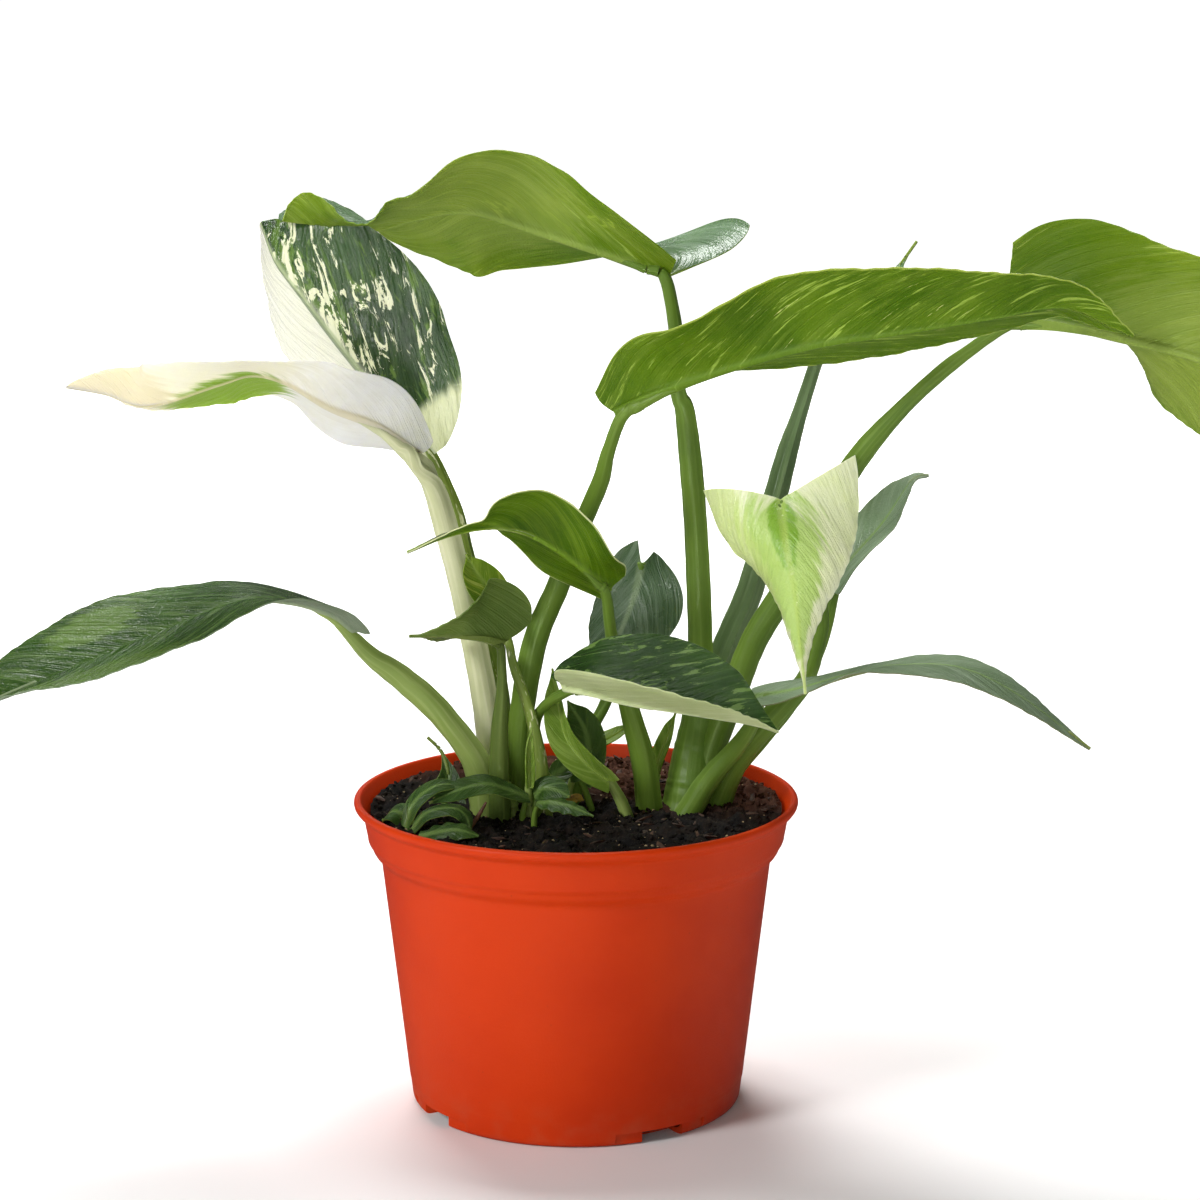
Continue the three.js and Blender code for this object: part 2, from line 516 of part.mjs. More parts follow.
// Joins an upper and a lower grid of points, one after the other in positions, into a closed sheet
function closedSheet(positions, rows, columns) {
  const across = columns + 1;
  const layer = (rows + 1) * across;
  const index = [];
  const quad = (a, b, c, d) => index.push(a, b, c, c, b, d);
  for (let i = 0; i < rows; i += 1) {
    for (let j = 0; j < columns; j += 1) {
      const a = i * across + j;
      index.push(a, a + 1, a + across, a + across, a + 1, a + across + 1);
      const b = a + layer;
      index.push(b + 1, b, b + across, b + 1, b + across, b + across + 1);
    }
    const left = i * across;
    const right = left + columns;
    quad(left, left + across, left + layer, left + across + layer);
    quad(right + across, right, right + across + layer, right + layer);
  }
  for (let j = 0; j < columns; j += 1) {
    const end = rows * across + j;
    quad(j + 1, j, j + 1 + layer, j + layer);
    quad(end, end + 1, end + layer, end + 1 + layer);
  }
  const geometry = new THREE.BufferGeometry();
  geometry.setAttribute('position', new THREE.Float32BufferAttribute(positions, 3));
  geometry.setIndex(index);
  return geometry;
}

// A stalk or stem: a cylinder bent along its points, slightly flat, with a groove down the side
// that looks along `grooveSide`
function bentStalk(points, { grooveSide, groove = STALK.groove, sides = STALK.sides, grow = 0 }) {
  const curve = new THREE.CatmullRomCurve3(points.map(vector), false, 'catmullrom', 0.5);
  const radii = points.map((row) => row[3]);
  const rings = Math.ceil(1.5 * (points.length - 1));
  const geometry = new THREE.CylinderGeometry(1, 1, 1, sides, rings);
  const position = geometry.getAttribute('position');
  for (let i = 0; i < position.count; i += 1) {
    const [x, y, z] = [position.getX(i), position.getY(i), position.getZ(i)];
    const t = y + 0.5;
    const forward = curve.getTangent(t);
    const front = grooveSide.clone().addScaledVector(forward, -grooveSide.dot(forward)).normalize();
    const side = forward.clone().cross(front);
    const around = Math.atan2(x, z);
    const dip = groove * Math.exp(-((around / STALK.grooveWidth) ** 2));
    const radius = (smoothAt(radii, t) * (1 - dip) + grow) * Math.hypot(x, z);
    const beyond = (t > 0.999 ? grow : 0) - (t < 0.001 ? grow : 0);
    const p = curve.getPoint(t)
      .addScaledVector(front, radius * Math.cos(around) * STALK.flatness)
      .addScaledVector(side, radius * Math.sin(around))
      .addScaledVector(forward, beyond);
    position.setXYZ(i, p.x, p.y, p.z);
  }
  return solid(geometry);
}

// The groove of a stalk carries on the upper face of its blade, so it looks away from the tip
function grooveOf(leaf) {
  return vector(leaf.rib[0]).sub(vector(leaf.rib[2])).normalize();
}

// The pot: a turned shell with a rolled rim and a stepped collar, notched round its foot
function potBody() {
  const { height, foot, bodyTop, bodyTopAt, collar, collarAt, flare, flareAt, rim, rimAt } = POT;
  const { wall, floor, corner } = POT;
  const outer = [
    [0, 0], [foot - corner, 0], [foot - corner * 0.3, corner * 0.3], [foot, corner],
    [bodyTop, bodyTopAt], [bodyTop + 1.3, bodyTopAt + 2.2], [collar - 1.1, collarAt - 3],
    [collar, collarAt], [flare, flareAt], [rim - 0.8, rimAt - 1.6], [rim, rimAt],
    [rim, height - 0.9], [rim - 0.4, height - 0.2], [rim - 1.1, height],
  ];
  const inner = [
    [rim - 2.1, height - 0.2], [rim - 2.7, height - 1.1], [flare - wall + 0.2, flareAt + 1.6],
    [flare - wall - 0.1, flareAt - 1], [collar - wall, collarAt - 0.5],
    [bodyTop - wall + 1, bodyTopAt + 1.4], [bodyTop - wall, bodyTopAt - 1],
    [foot - wall, corner + 1.5], [foot - wall - 1.6, floor], [0, floor],
  ];
  const profile = [...outer, ...inner].map(([r, z]) => new THREE.Vector2(r, z));
  let body = solid(new THREE.LatheGeometry(profile, POT.sides).rotateX(Math.PI / 2));
  for (const angle of NOTCH.angles) {
    const panel = ringSector(foot - NOTCH.depth, foot + 5, NOTCH.panel, angle);
    const opening = ringSector(foot - 8, foot + 5, NOTCH.opening, angle);
    body = body.subtract(panel).subtract(opening);
  }
  return body;
}

// A block between two radii, `width` degrees wide and turned `angle` degrees from the front
function ringSector(inside, outside, width, angle) {
  const middle = THREE.MathUtils.degToRad(angle - 90);
  const half = THREE.MathUtils.degToRad(width / 2);
  const shape = new THREE.Shape();
  shape.absarc(0, 0, outside, middle - half, middle + half, false);
  shape.absarc(0, 0, inside, middle + half, middle - half, true);
  const depth = NOTCH.height + 1;
  const block = new THREE.ExtrudeGeometry(shape, { depth, bevelEnabled: false, curveSegments: 6 });
  return solid(block.translate(0, 0, -1));
}

// The soil fills the pot to just under its rim and is rough on top
function soilBody() {
  const { foot, bodyTop, bodyTopAt, collar, collarAt, flare, flareAt, wall, floor, corner } = POT;
  const gap = wall + GAP + 0.25;
  const wallSide = [
    [0, floor + GAP], [foot - gap - 1.8, floor + GAP], [foot - gap, corner + 1.8],
    [bodyTop - gap, bodyTopAt - 0.8], [bodyTop - gap + 1, bodyTopAt + 1.6],
    [collar - gap, collarAt - 0.3], [flare - gap - 0.1, flareAt - 1],
  ];
  const crown = flare - gap;
  const top = [crown, 66, 58, 48, 38, 28, 15, 0].map((r) => [r, SOIL.top + SOIL.bank]);
  const profile = [...wallSide, ...top].map(([r, z]) => new THREE.Vector2(r, z));
  const geometry = new THREE.LatheGeometry(profile, SOIL.sides).rotateX(Math.PI / 2);
  const position = geometry.getAttribute('position');
  for (let i = 0; i < position.count; i += 1) {
    if (position.getZ(i) > SOIL.top + SOIL.bank - 0.1) {
      position.setZ(i, soilHeight(position.getX(i), position.getY(i)));
    }
  }
  return solid(geometry);
}

function soilHeight(x, y) {
  const r = Math.hypot(x, y);
  const bumps = Math.sin(x * 0.31 + 1.2) * Math.cos(y * 0.27 - 0.6)
    + 0.6 * Math.sin(x * 0.11 - y * 0.53 + 2) + 0.4 * Math.cos(x * 0.71 + y * 0.33);
  const edges = smoothstep(0, 8, r) * (1 - 0.6 * smoothstep(64, 70, r));
  return SOIL.top + SOIL.bank * smoothstep(30, 64, r) + SOIL.roughness * bumps * edges;
}

// Each piece is cut clear of the ones placed before it
const placed = [];

function place(name, shape, finish) {
  const body = placed.reduce((rest, other) => rest.subtract(other), shape(0));
  addMesh(name, body, finish);
  placed.push(shape(GAP));
}

for (const [name, leaf] of Object.entries(LEAVES)) {
  place(`blade_${name}`, (grow) => new Blade(leaf).slab(LARGE, grow), leaf.finish);
}
const front = new THREE.Vector3(0, -1, 0);
for (const [name, stem] of Object.entries(STEMS)) {
  const form = { grooveSide: front, groove: 0, sides: STALK.stemSides };
  place(name, (grow) => bentStalk(stem, { ...form, grow }), 'stem');
}
for (const [name, leaf] of Object.entries(LEAVES)) {
  const shape = (grow) => bentStalk(leaf.stalk, { grooveSide: grooveOf(leaf), grow });
  place(`stalk_${name}`, shape, leaf.stalkFinish);
}
for (const [name, leaf] of Object.entries(SMALL_LEAVES)) {
  const grid = leaf.width < TINY.below ? TINY : SMALL;
  const form = { grooveSide: grooveOf(leaf), sides: STALK.smallSides };
  const shape = (grow) => new Blade(leaf).slab(grid, grow)
    .add(bentStalk(leaf.stalk, { ...form, grow }));
  place(`leaf_${name}`, shape, leaf.finish);
}

addMesh('soil', placed.reduce((rest, other) => rest.subtract(other), soilBody()), 'soil');
addMesh('pot', potBody(), 'pot');

export default plant;
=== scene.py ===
"""A potted philodendron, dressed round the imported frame.

The leaves follow the same midribs, widths and lifts as the solids they replace, with finer
surfaces, veins and grooves. Tables are in millimetres, and every finished mesh is in metres.
"""
import math
import random

import bpy
import numpy as np
from mathutils import Matrix, Vector, noise


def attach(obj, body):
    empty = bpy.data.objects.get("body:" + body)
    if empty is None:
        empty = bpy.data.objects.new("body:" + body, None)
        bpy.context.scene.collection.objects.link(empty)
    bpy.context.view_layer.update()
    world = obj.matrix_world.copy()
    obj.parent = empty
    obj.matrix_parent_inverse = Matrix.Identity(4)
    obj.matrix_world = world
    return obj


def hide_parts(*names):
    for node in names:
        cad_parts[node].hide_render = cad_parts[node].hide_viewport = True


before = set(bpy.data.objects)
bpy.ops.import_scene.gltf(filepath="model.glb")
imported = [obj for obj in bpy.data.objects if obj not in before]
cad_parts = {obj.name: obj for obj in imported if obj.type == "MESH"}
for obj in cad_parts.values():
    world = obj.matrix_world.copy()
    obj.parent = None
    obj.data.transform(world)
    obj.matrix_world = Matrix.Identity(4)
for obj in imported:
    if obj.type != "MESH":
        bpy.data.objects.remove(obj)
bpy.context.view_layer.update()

MM = 0.001

# The large leaves.
# rib: points of the midrib from the stalk to the tip. up: the way the upper face looks.
# width: half the blade's width, reached at the share `widest` of its length. base: its share of
# that at the stalk. taper: above 1, the blade narrows faster towards the tip. drip: how much
# the last of the tip is drawn in. torn: how much is torn off the left half near the tip.
# reach: the share of the rib each way that the blade's direction is taken from.
# Pairs are for the left and right half. shoulder: extra width at the stalk. lobe and lobe_lift:
# how far the base lobes reach back and up; pointed gives them a straighter edge, and full keeps
# them broad for longer. curl: the bend from rib to margin.
# left and right: the lift of each half towards the upper face, in degrees, at even steps along
# the rib. wave: height and number of the margin's waves.
# stalk: points from the soil up, each with the stalk's radius there. neck: its radius at the
# blade. sheath: the share of the stalk that is sheathed. finishes: those of the upper face, the
# under face and the stalk.
LEAVES = {
    "far_left": dict(
        rib=[(-75, -12, 168), (-82, -14, 174), (-95, -18, 179), (-112, -24, 180), (-137, -34, 172),
             (-162, -44, 163), (-188, -50, 153), (-207, -54, 143)],
        up=(0, -0.35, 1), width=24, widest=0.42, base=0.15, lobe=(4, 3), pointed=True,
        left=(42, 34, 32, 22, 13, 14, 18, 20, 25, 25, 25),
        right=(-20, -25, -18, -8, 0, 6, 12, 22, 35, 45, 55), curl=(10, -20), wave=(1.5, 2.2),
        stalk=[(-31, -2, 100, 6), (-34, -3, 119, 5.5), (-45, -6, 136, 5), (-58, -8, 149, 4.5),
               (-69, -10, 158, 3.6)], neck=2.6, sheath=0.6,
        finishes="streaked_dark grey_back light_stalk",
    ),
    "white": dict(
        rib=[(-53, 0, 225), (-67, -5, 236), (-82, -10, 243), (-96, -14, 252), (-107, -17, 255),
             (-118, -20, 252), (-141, -22, 245), (-155, -22, 249), (-168, -20, 251)],
        up=(0, 0.6, 0.8), width=22, base=0.25, taper=0.75, lobe=(3, 4),
        left=(85, 40, 5, -20, 5, 42, 60), right=(35, -5, 25, 5, 15, 30, 40), curl=(-25, -20),
        wave=(1.2, 2),
        stalk=[(-28, 9, 100, 5.5), (-30, 9, 126, 5.2), (-34, 8, 153, 4.8), (-39, 6, 178, 4.7),
               (-44, 4, 199, 4.6), (-49, 2, 216, 4.2)], neck=3.4, sheath=0.85,
        finishes="cream_back cream_back cream_stalk",
    ),
    "marbled": dict(
        rib=[(-49, 20, 222), (-60, 21, 236), (-73, 22, 250), (-93, 24, 276), (-102, 25, 288),
             (-107, 26, 301)],
        up=(-0.05, -0.97, 0.15), width=36.5, widest=0.42, base=0.12, taper=0.65, drip=0.1,
        left=(-60, -60, -60, -58, -60, -70, -80), right=(10, 5, 5, 5, 5), curl=(-10, -15),
        wave=(1.5, 1.6),
        stalk=[(-24, 20, 100, 4.2), (-26, 20, 130, 4), (-28, 20, 144, 3.9), (-33, 20, 165, 3.8),
               (-38, 20, 186, 3.6), (-42, 20, 205, 2.8)], neck=2.3, sheath=0.7,
        finishes="marbled_dark marbled_back striped_stalk",
    ),
    "top": dict(
        rib=[(32, 22, 284), (8, 22, 292), (-12, 24, 298), (-36, 26, 305), (-55, 29, 302),
             (-70, 29, 298), (-87, 25, 300), (-99, 20, 302)],
        up=(0, 0.8, 0.6), width=30, base=0.32, taper=0.5, drip=0, reach=0.09, lobe=(0, 22),
        lobe_lift=(0, 20), full=True,
        left=(-30, -18, -7, 4, 3, -12, -36, -36, -40, -34, 15),
        right=(125, 62, 36, 27, 18, 5, 8, 25, 58, 70, 60), curl=(-20, -20), wave=(2, 1.7),
        stalk=[(36, 14, 100, 6), (38, 15, 116, 6), (43, 18, 136, 5.6), (43, 20, 157, 5.2),
               (42, 22, 185, 5), (40, 22, 213, 4.8), (37.5, 22, 236, 4.2), (35, 22, 244, 3.2),
               (34, 22, 265, 3)], neck=2.8, sheath=0.7,
        finishes="bluish_gloss green_back green_stalk",
    ),
    "long": dict(
        rib=[(14, -12, 241), (28, -18, 249), (49, -26, 258), (77, -36, 267), (102, -44, 272),
             (133, -52, 278), (155, -56, 282), (171, -58, 276), (178, -60, 273)],
        up=(0, 0.75, 0.65), width=28, widest=0.35, base=0.3, taper=0.7, drip=0.2, lobe=(5, 6),
        left=(65, 42, 28, 26, 32, 40), right=(70, 0, 18, 8, -8, -14), curl=(-15, -25),
        wave=(1.4, 1.6),
        stalk=[(-20, 9, 100, 4.4), (-19, 9, 128, 4.4), (-14, 10, 158, 4.4), (-6, 10, 178, 4.2),
               (1, 6, 198, 3.9), (8, -2, 216, 3.6), (11, -8, 228, 2.8)], neck=2.6, sheath=0.82,
        finishes="green_gloss flecked_back green_stalk",
    ),
    "far_right": dict(
        rib=[(141, -20, 273), (158, -30, 273), (178, -42, 270), (200, -54, 265), (221, -64, 256),
             (240, -70, 241)],
        up=(-0.2, 0.8, 0.6), width=36, widest=0.35, base=0.55, shoulder=(0.7, 0), lobe=(2, 1),
        left=(80, 62, 12, -5, -20, -25), right=(65, 45, 30, 28, 30, 30), curl=(-15, -20),
        wave=(1.6, 1.6),
        stalk=[(42, 11, 100, 5.5), (47, 12, 120, 5.2), (55, 14, 141, 5), (62, 14, 159, 4.8),
               (72, 12, 177, 4.8), (83, 6, 202, 4.6), (96, 0, 225, 4.2), (110, -7, 243, 3),
               (127, -14, 260, 2.7)], neck=2.5, sheath=0.68,
        finishes="green_gloss green_back green_stalk",
    ),
    "back_right": dict(
        rib=[(85, 75, 250), (95, 92, 254), (107, 112, 262), (125, 128, 284)],
        up=(-0.4, -0.3, 1), width=20, taper=2.5, drip=0.75, lobe=(7, 7),
        left=(0, -10, -10, 0), right=(0, -5, -5, 0), curl=(-15, -15), wave=(1.4, 1.6),
        stalk=[(38, 20, 100, 5.5), (43, 26, 127, 5.2), (52, 34, 151, 4.8), (61, 44, 170, 4.8),
               (68, 54, 193, 4.4), (74, 62, 214, 4), (79, 68, 229, 2.8)], neck=2.5, sheath=0.7,
        finishes="bluish_gloss green_back bluish_stalk",
    ),
    "lime": dict(
        rib=[(68, -22, 214), (69, -36, 203), (72, -44, 186), (74, -43, 169), (76, -40, 152)],
        up=(0, -0.95, 0.3), width=28, widest=0.12, base=0.85, taper=1.5, shoulder=(-0.05, 0),
        lobe=(20, 17), pointed=True,
        left=(-8, -14, -12, -32, -48, -50), right=(-25, -58, -68, -66, -62, -50), curl=(-50, -80),
        wave=(1.6, 1.4),
        stalk=[(48, 8, 100, 5), (55, 4, 118, 4.6), (66, 0, 133, 4.2), (77, -5, 147, 3.4),
               (82, -9, 162, 2.4), (83, -11, 174, 2.2), (78, -14, 192, 2.2), (72, -17, 208, 2.2)],
        neck=2.2, sheath=0.5, finishes="lime_flush grey_back green_stalk",
    ),
    "grey": dict(
        rib=[(88, 12, 177), (94, 18, 185), (106, 26, 197), (116, 30, 211), (122, 31, 213)],
        up=(-0.6, -0.6, 0.5), width=13, base=0.5, lobe=(4, 4),
        left=(0, 0, -5, -20), right=(25, 28, 32, 35), wave=(0.8, 1.4),
        stalk=[(46, 20, 100, 3), (64, 18, 122, 2.8), (77, 15, 140, 2.4), (85, 13, 159, 2)],
        neck=1.8, finishes="grey_face grey_back green_stalk",
    ),
    "low_right": dict(
        rib=[(61, -13, 145), (75, -20, 149), (94, -30, 157), (107, -38, 161), (126, -46, 162),
             (145, -52, 154), (168, -56, 137)],
        up=(0, -0.25, 1), width=14, widest=0.45, base=0.22, lobe=(3, 3),
        left=(5, -5, -10, -15, -10, 0), right=(-20, 5, 18, 8, 5, 5), curl=(-10, -10), wave=(1, 1.6),
        stalk=[(38, -3, 100, 4.6), (46, -4, 114, 4), (55, -7, 126, 3.4), (60, -10, 135, 2.8)],
        neck=2.2, sheath=0.5, finishes="grey_face brown_back green_stalk",
    ),
    "front": dict(
        rib=[(-3, -20, 150), (6, -28, 149.5), (18, -34, 147.5), (38, -40, 145), (58, -44, 142.5),
             (67, -45, 140)],
        up=(0, -0.45, 0.9), width=25, widest=0.42, base=0.05, lobe=(8, 1),
        left=(38, 44, 44, 44, 44), right=(50, 55, 56, 55, 52), curl=(-15, -10), wave=(0.8, 1.2),
        stalk=[(-15, 2, 100, 3), (-15, 2, 120, 2.6), (-14, 1, 133, 2.4), (-10, -7, 141, 2.2)],
        neck=2, finishes="blotched_dark pale_back green_stalk",
    ),
    "curled": dict(
        rib=[(11, -6, 180), (-1, -14, 192), (-14, -20, 201), (-23, -23, 204), (-32, -23, 204),
             (-43, -21, 201), (-56, -18, 195)],
        up=(0, 0.7, 0.7), width=18.5, widest=0.35, base=0.3, taper=0.8, torn=0.6, lobe=(0, 4),
        left=(20, -12, 8, 20, -15, -30, -30), right=(20, 12, 26, 36, 40, 60), curl=(-40, -30),
        wave=(0.6, 1.4),
        stalk=[(25, 8, 100, 5), (23, 4, 117, 4.4), (18, 2, 137, 3.6), (14, 0, 155, 2.8),
               (12, -2, 165, 2.6)], neck=2.4, sheath=0.45,
        finishes="striped_dark bright_back green_stalk",
    ),
    "hood": dict(
        rib=[(-25, -12, 163), (-32, -18, 166), (-42, -24, 168), (-55, -30, 169)],
        up=(0, 0.5, 0.8), width=21, widest=0.25, base=0.3, lobe=(9, 3), full=True,
        left=(55, 65, 30, 10, 12), right=(20, 12, 12, 15), curl=(-30, -20), wave=(0.5, 1),
        stalk=[(-26, -7, 100, 4.6), (-26, -9, 129, 3.4), (-25, -10, 146, 2.2),
               (-25, -11, 157, 1.8)], neck=1.8, finishes="green_gloss olive_back olive_stalk",
    ),
    "round": dict(
        rib=[(23, 48, 179), (20, 40, 168), (14, 34, 153), (8, 32, 137)],
        up=(0, -0.9, 0.4), width=18, widest=0.35, base=0.12, lobe=(6, 9), pointed=True, full=True,
        left=(-30, 5, 20, 20), right=(-25, -42, -35, -20), curl=(-20, -20), wave=(0.5, 1.2),
        stalk=[(-1, 14, 100, 2.6), (1, 16, 114, 2.6), (4, 20, 123, 2.4), (10, 28, 133, 2.2),
               (17, 42, 149, 2), (23, 52, 166, 1.8)], neck=1.8,
        finishes="bluish_face grey_back green_stalk",
    ),
}

# The young leaves, each standing on its own short stalk
SMALL_LEAVES = {
    "young_folded": dict(
        rib=[(11, -7, 114), (4, -8, 120), (-3, -7, 129), (-6, -1, 141), (-8, 3, 151)],
        up=(-0.5, -0.6, 0.2), width=7, lobe=(2, 2), left=(60, 60, 55, 50), right=(20, 30, 40, 40),
        stalk=[(18, -3, 98, 3), (16, -4, 105, 2.4)], neck=1.8,
        finishes="young_green young_green light_stalk",
    ),
    "young_dark": dict(
        rib=[(2, 6, 111), (4, 8, 118), (3, 8, 128), (-3, 6, 139)],
        up=(0.2, -1, 0.2), width=6.5, lobe=(2, 2), curl=(10, 10),
        stalk=[(6, 6, 98, 1.6), (3, 6, 107, 1.5)], neck=1.4,
    ),
    "behind_hood": dict(
        rib=[(-27, 0, 174), (-30, -1, 180), (-34, -2, 186), (-37, -3, 192)],
        up=(0.6, -0.8, 0), width=7, widest=0.35, base=0.5, lobe=(2, 2), right=(40, 40),
        curl=(20, 20),
        stalk=[(-10, -6, 98, 3.2), (-12, -6, 120, 3), (-14, -6, 131, 2.4), (-17, -5, 142, 2),
               (-21, -4, 153, 1.8), (-23, -3, 162, 1.6)], neck=1.5,
        finishes="yellow_mottled green_back striped_stalk",
    ),
    "sprig_left": dict(
        rib=[(-16, -16, 110), (-23, -20, 114), (-30, -24, 117), (-39, -28, 116), (-49, -30, 112)],
        up=(0.1, -0.55, 0.8), width=5.5, widest=0.45, base=0.3, left=(10, 10, 10, 0),
        right=(-10, -10, -10, 0), curl=(-10, -10),
        stalk=[(-18, -15, 97, 1.5), (-18, -15.5, 104, 1.3)], neck=1.1,
    ),
    "sprig_oval": dict(
        rib=[(-14, -12, 110), (-11, -14, 113), (-7, -16, 113), (-2, -18, 111)],
        up=(0.1, -0.6, 0.8), width=5, widest=0.45, base=0.3, left=(10, 10), right=(-10, -10),
        curl=(-10, -10),
        stalk=[(-13, -11, 97, 1.4), (-14, -12, 104, 1.3)], neck=1.1,
    ),
    "sprig_front": dict(
        rib=[(-13, -21, 110), (-8, -24, 111), (-2, -26, 110), (6, -28, 107)],
        up=(0, -0.3, 1), width=3.8, base=0.3, left=(-10, -10), right=(-25, -25, -20, -10),
        wave=(0.8, 5),
        stalk=[(-14, -20, 97, 1.3), (-14, -20, 105, 1.2)], neck=1,
    ),
    "centre_bud": dict(
        rib=[(-16, -12.5, 113), (-16, -12.5, 120), (-16, -12.5, 127), (-15, -12, 134)],
        up=(0.3, -0.9, 0), width=2.6, widest=0.35, base=0.5, left=(45, 45), right=(45, 45),
        stalk=[(-16, -11, 97, 1.5), (-16, -12, 106, 1.4)], neck=1.2,
        finishes="young_green young_green light_stalk",
    ),
    "stub": dict(
        rib=[(-8, 2, 113), (-5, 4, 115), (-1, 6, 118)],
        up=(0.2, -0.8, 0.5), width=4, widest=0.45, curl=(15, 15),
        stalk=[(-9, 1, 97, 2), (-9, 1, 103, 1.9), (-9, 1, 109, 1.8)], neck=1.5,
    ),
    "dark_round": dict(
        rib=[(-8, 21, 104), (-6, 21, 107), (0, 22, 110)],
        up=(0.2, -0.7, 0.6), width=4.5, widest=0.45, curl=(10, 10),
        stalk=[(-9, 21, 97, 1.3), (-9, 21, 101, 1.2)], neck=1.1,
        finishes="bluish_face grey_back green_stalk",
    ),
    "right_bud": dict(
        rib=[(28, 35, 104), (29, 36, 110), (32, 38, 118), (35, 39, 127)],
        up=(-0.6, -0.8, 0), width=3.6, left=(30, 30, 30, 40), right=(30, 30, 30, 40),
        stalk=[(27, 34, 96, 1.6), (27, 34, 99, 1.5)], neck=1.2,
        finishes="young_green green_back light_stalk",
    ),
    "sprout": dict(
        rib=[(-45, -3, 108), (-44, -1, 114), (-45, 1, 119), (-47, 2, 123), (-51, 2, 127)],
        up=(0.3, -0.9, 0.2), width=6, widest=0.15, base=0.8, taper=3, lobe=(2, 2),
        left=(30, 20, 10, 10), right=(30, 20, 10, 10),
        stalk=[(-45, -5, 96, 1.6), (-45, -4, 102, 1.5)], neck=1.3,
    ),
    "rim_left": dict(
        rib=[(-57, -26, 104), (-59, -25, 107), (-62, -23, 107), (-65, -20, 103)],
        up=(0.2, -0.5, 1), width=5.5, widest=0.45, curl=(-20, -20),
        stalk=[(-56, -26, 96, 1.4), (-56, -26, 100, 1.3)], neck=1.1,
        finishes="deep_face olive_back light_stalk",
    ),
    "rim_arch": dict(
        rib=[(-57, -31, 104), (-54, -30, 112), (-47, -27, 117), (-38, -24, 117)],
        up=(-0.5, -0.4, 0.8), width=4.5, widest=0.5, curl=(-10, -10),
        stalk=[(-56, -31, 96, 1.4), (-57, -31, 100, 1.3)], neck=1.1,
    ),
    "rim_low": dict(
        rib=[(-55, -36, 104), (-50, -36, 110), (-42, -36, 112), (-37, -37, 110), (-35, -38, 105)],
        up=(0, -0.2, 1), width=4.5, widest=0.5, left=(-10, -10), right=(-10, -10), curl=(-10, -10),
        stalk=[(-54, -36, 96, 1.4), (-55, -36, 100, 1.3)], neck=1.1,
    ),
    "rim_front": dict(
        rib=[(-52, -43, 104), (-46, -45, 106), (-39, -46, 107), (-32, -46, 105)],
        up=(0, -0.3, 1), width=4.5, widest=0.45, right=(-15, -15), curl=(-10, -10), wave=(0.8, 4),
        stalk=[(-52, -42, 96, 1.4), (-52, -42, 100, 1.3)], neck=1.1,
        finishes="deep_face olive_back light_stalk",
    ),
    "crossing": dict(
        rib=[(2, 12, 117), (7, 15, 121), (13, 20, 123), (19, 26, 126)],
        up=(0, -0.5, 0.9), width=3.5, left=(20, 20), right=(20, 20),
        stalk=[(-3, 9, 97, 1.4), (-2, 10, 108, 1.3)], neck=1.1,
        finishes="young_green green_back light_stalk",
    ),
}

# What a leaf is where its table says nothing
PLAIN_LEAF = dict(
    widest=0.4, base=0.4, taper=1, drip=0.45, torn=0, reach=0.03, shoulder=(0, 0), lobe=(0, 0),
    lobe_lift=(0, 0), pointed=False, full=False, left=(0, 0), right=(0, 0), curl=(0, 0),
    wave=(0, 0), sheath=0, finishes="deep_face olive_back green_stalk",
)

# The swollen stems in the soil: points from below, each with the radius there, and their finish
STEMS = {
    "stem_left": [(-24, 3, 74, 6), (-26, 1, 90, 8), (-28, 0, 103, 8), (-27, 0, 112, 5)],
    "stem_right": [(36, 8, 74, 7), (38, 9, 90, 10), (40, 11, 102, 10), (41.5, 13.5, 114, 9),
                   (43, 16, 128, 7), (43.5, 18, 142, 5)],
}
STEM_FINISHES = {"stem_left": "stem_pale", "stem_right": "stem_green"}

# Litter on the soil, given in the same way
TWIG = [(-37, -31, 101, 0.9), (-34.5, -30, 105, 0.8), (-32, -29, 108.5, 0.7), (-30, -28, 112, 0.4)]
DRY_BIT = dict(
    rib=[(-3, 1, 103), (-1.5, 0, 105), (0.5, 0, 106), (2.5, 1, 105)],
    up=(0, -0.8, 0.6), width=1.9, base=0.5, left=(10, 30, 30, 10), right=(0, 10, 20, 0),
    curl=(20, 20), wave=(0.3, 2),
)

# The pot's outline from the middle of its foot, up the outside, over the rim and down the inside
POT_OUTLINE = [
    (0, 0.6), (30, 0.6), (50, 0.4), (53, 0), (54.6, 0), (55.6, 0.3), (56.4, 0.9), (56.8, 1.7),
    (57, 2.6), (57.7, 8.2), (57.9, 8.8), (57.9, 9.6), (58.1, 10.2), (62, 44), (66.7, 84.2),
    (66.9, 85.8), (67.2, 86.9), (68.2, 88), (69.3, 89.2), (69.9, 90.2), (70.1, 91), (70.5, 92),
    (71.2, 92.7), (71.5, 93.5), (71.6, 94.4), (72.9, 101.4), (73.2, 102.4), (74.2, 103.4),
    (75.4, 104.2), (76, 105), (76.2, 105.8), (76.1, 106.4), (75.8, 106.9), (75.3, 107.2),
    (74.7, 107.3), (74.1, 107.2), (73.7, 106.8), (73.4, 106.2), (72.6, 104.4), (71.9, 103),
    (71.4, 101.4), (70, 93), (69.6, 92), (68, 90), (66.2, 87.4), (65.3, 84.8), (60.4, 44),
    (55.6, 4.6), (54.8, 2.8), (53.4, 1.9), (50, 1.8), (0, 1.8),
]

# The drainage notches: angles round the pot, then the width in degrees of the shallow panel and
# of the opening in it, the height, the panel's depth, and the radii that the cuts run between
NOTCH = dict(angles=(31.6, 121.6, 211.6, 301.6), panel=36, opening=16.4, height=4.5, depth=0.8,
             foot=57, inside=49, outside=62)

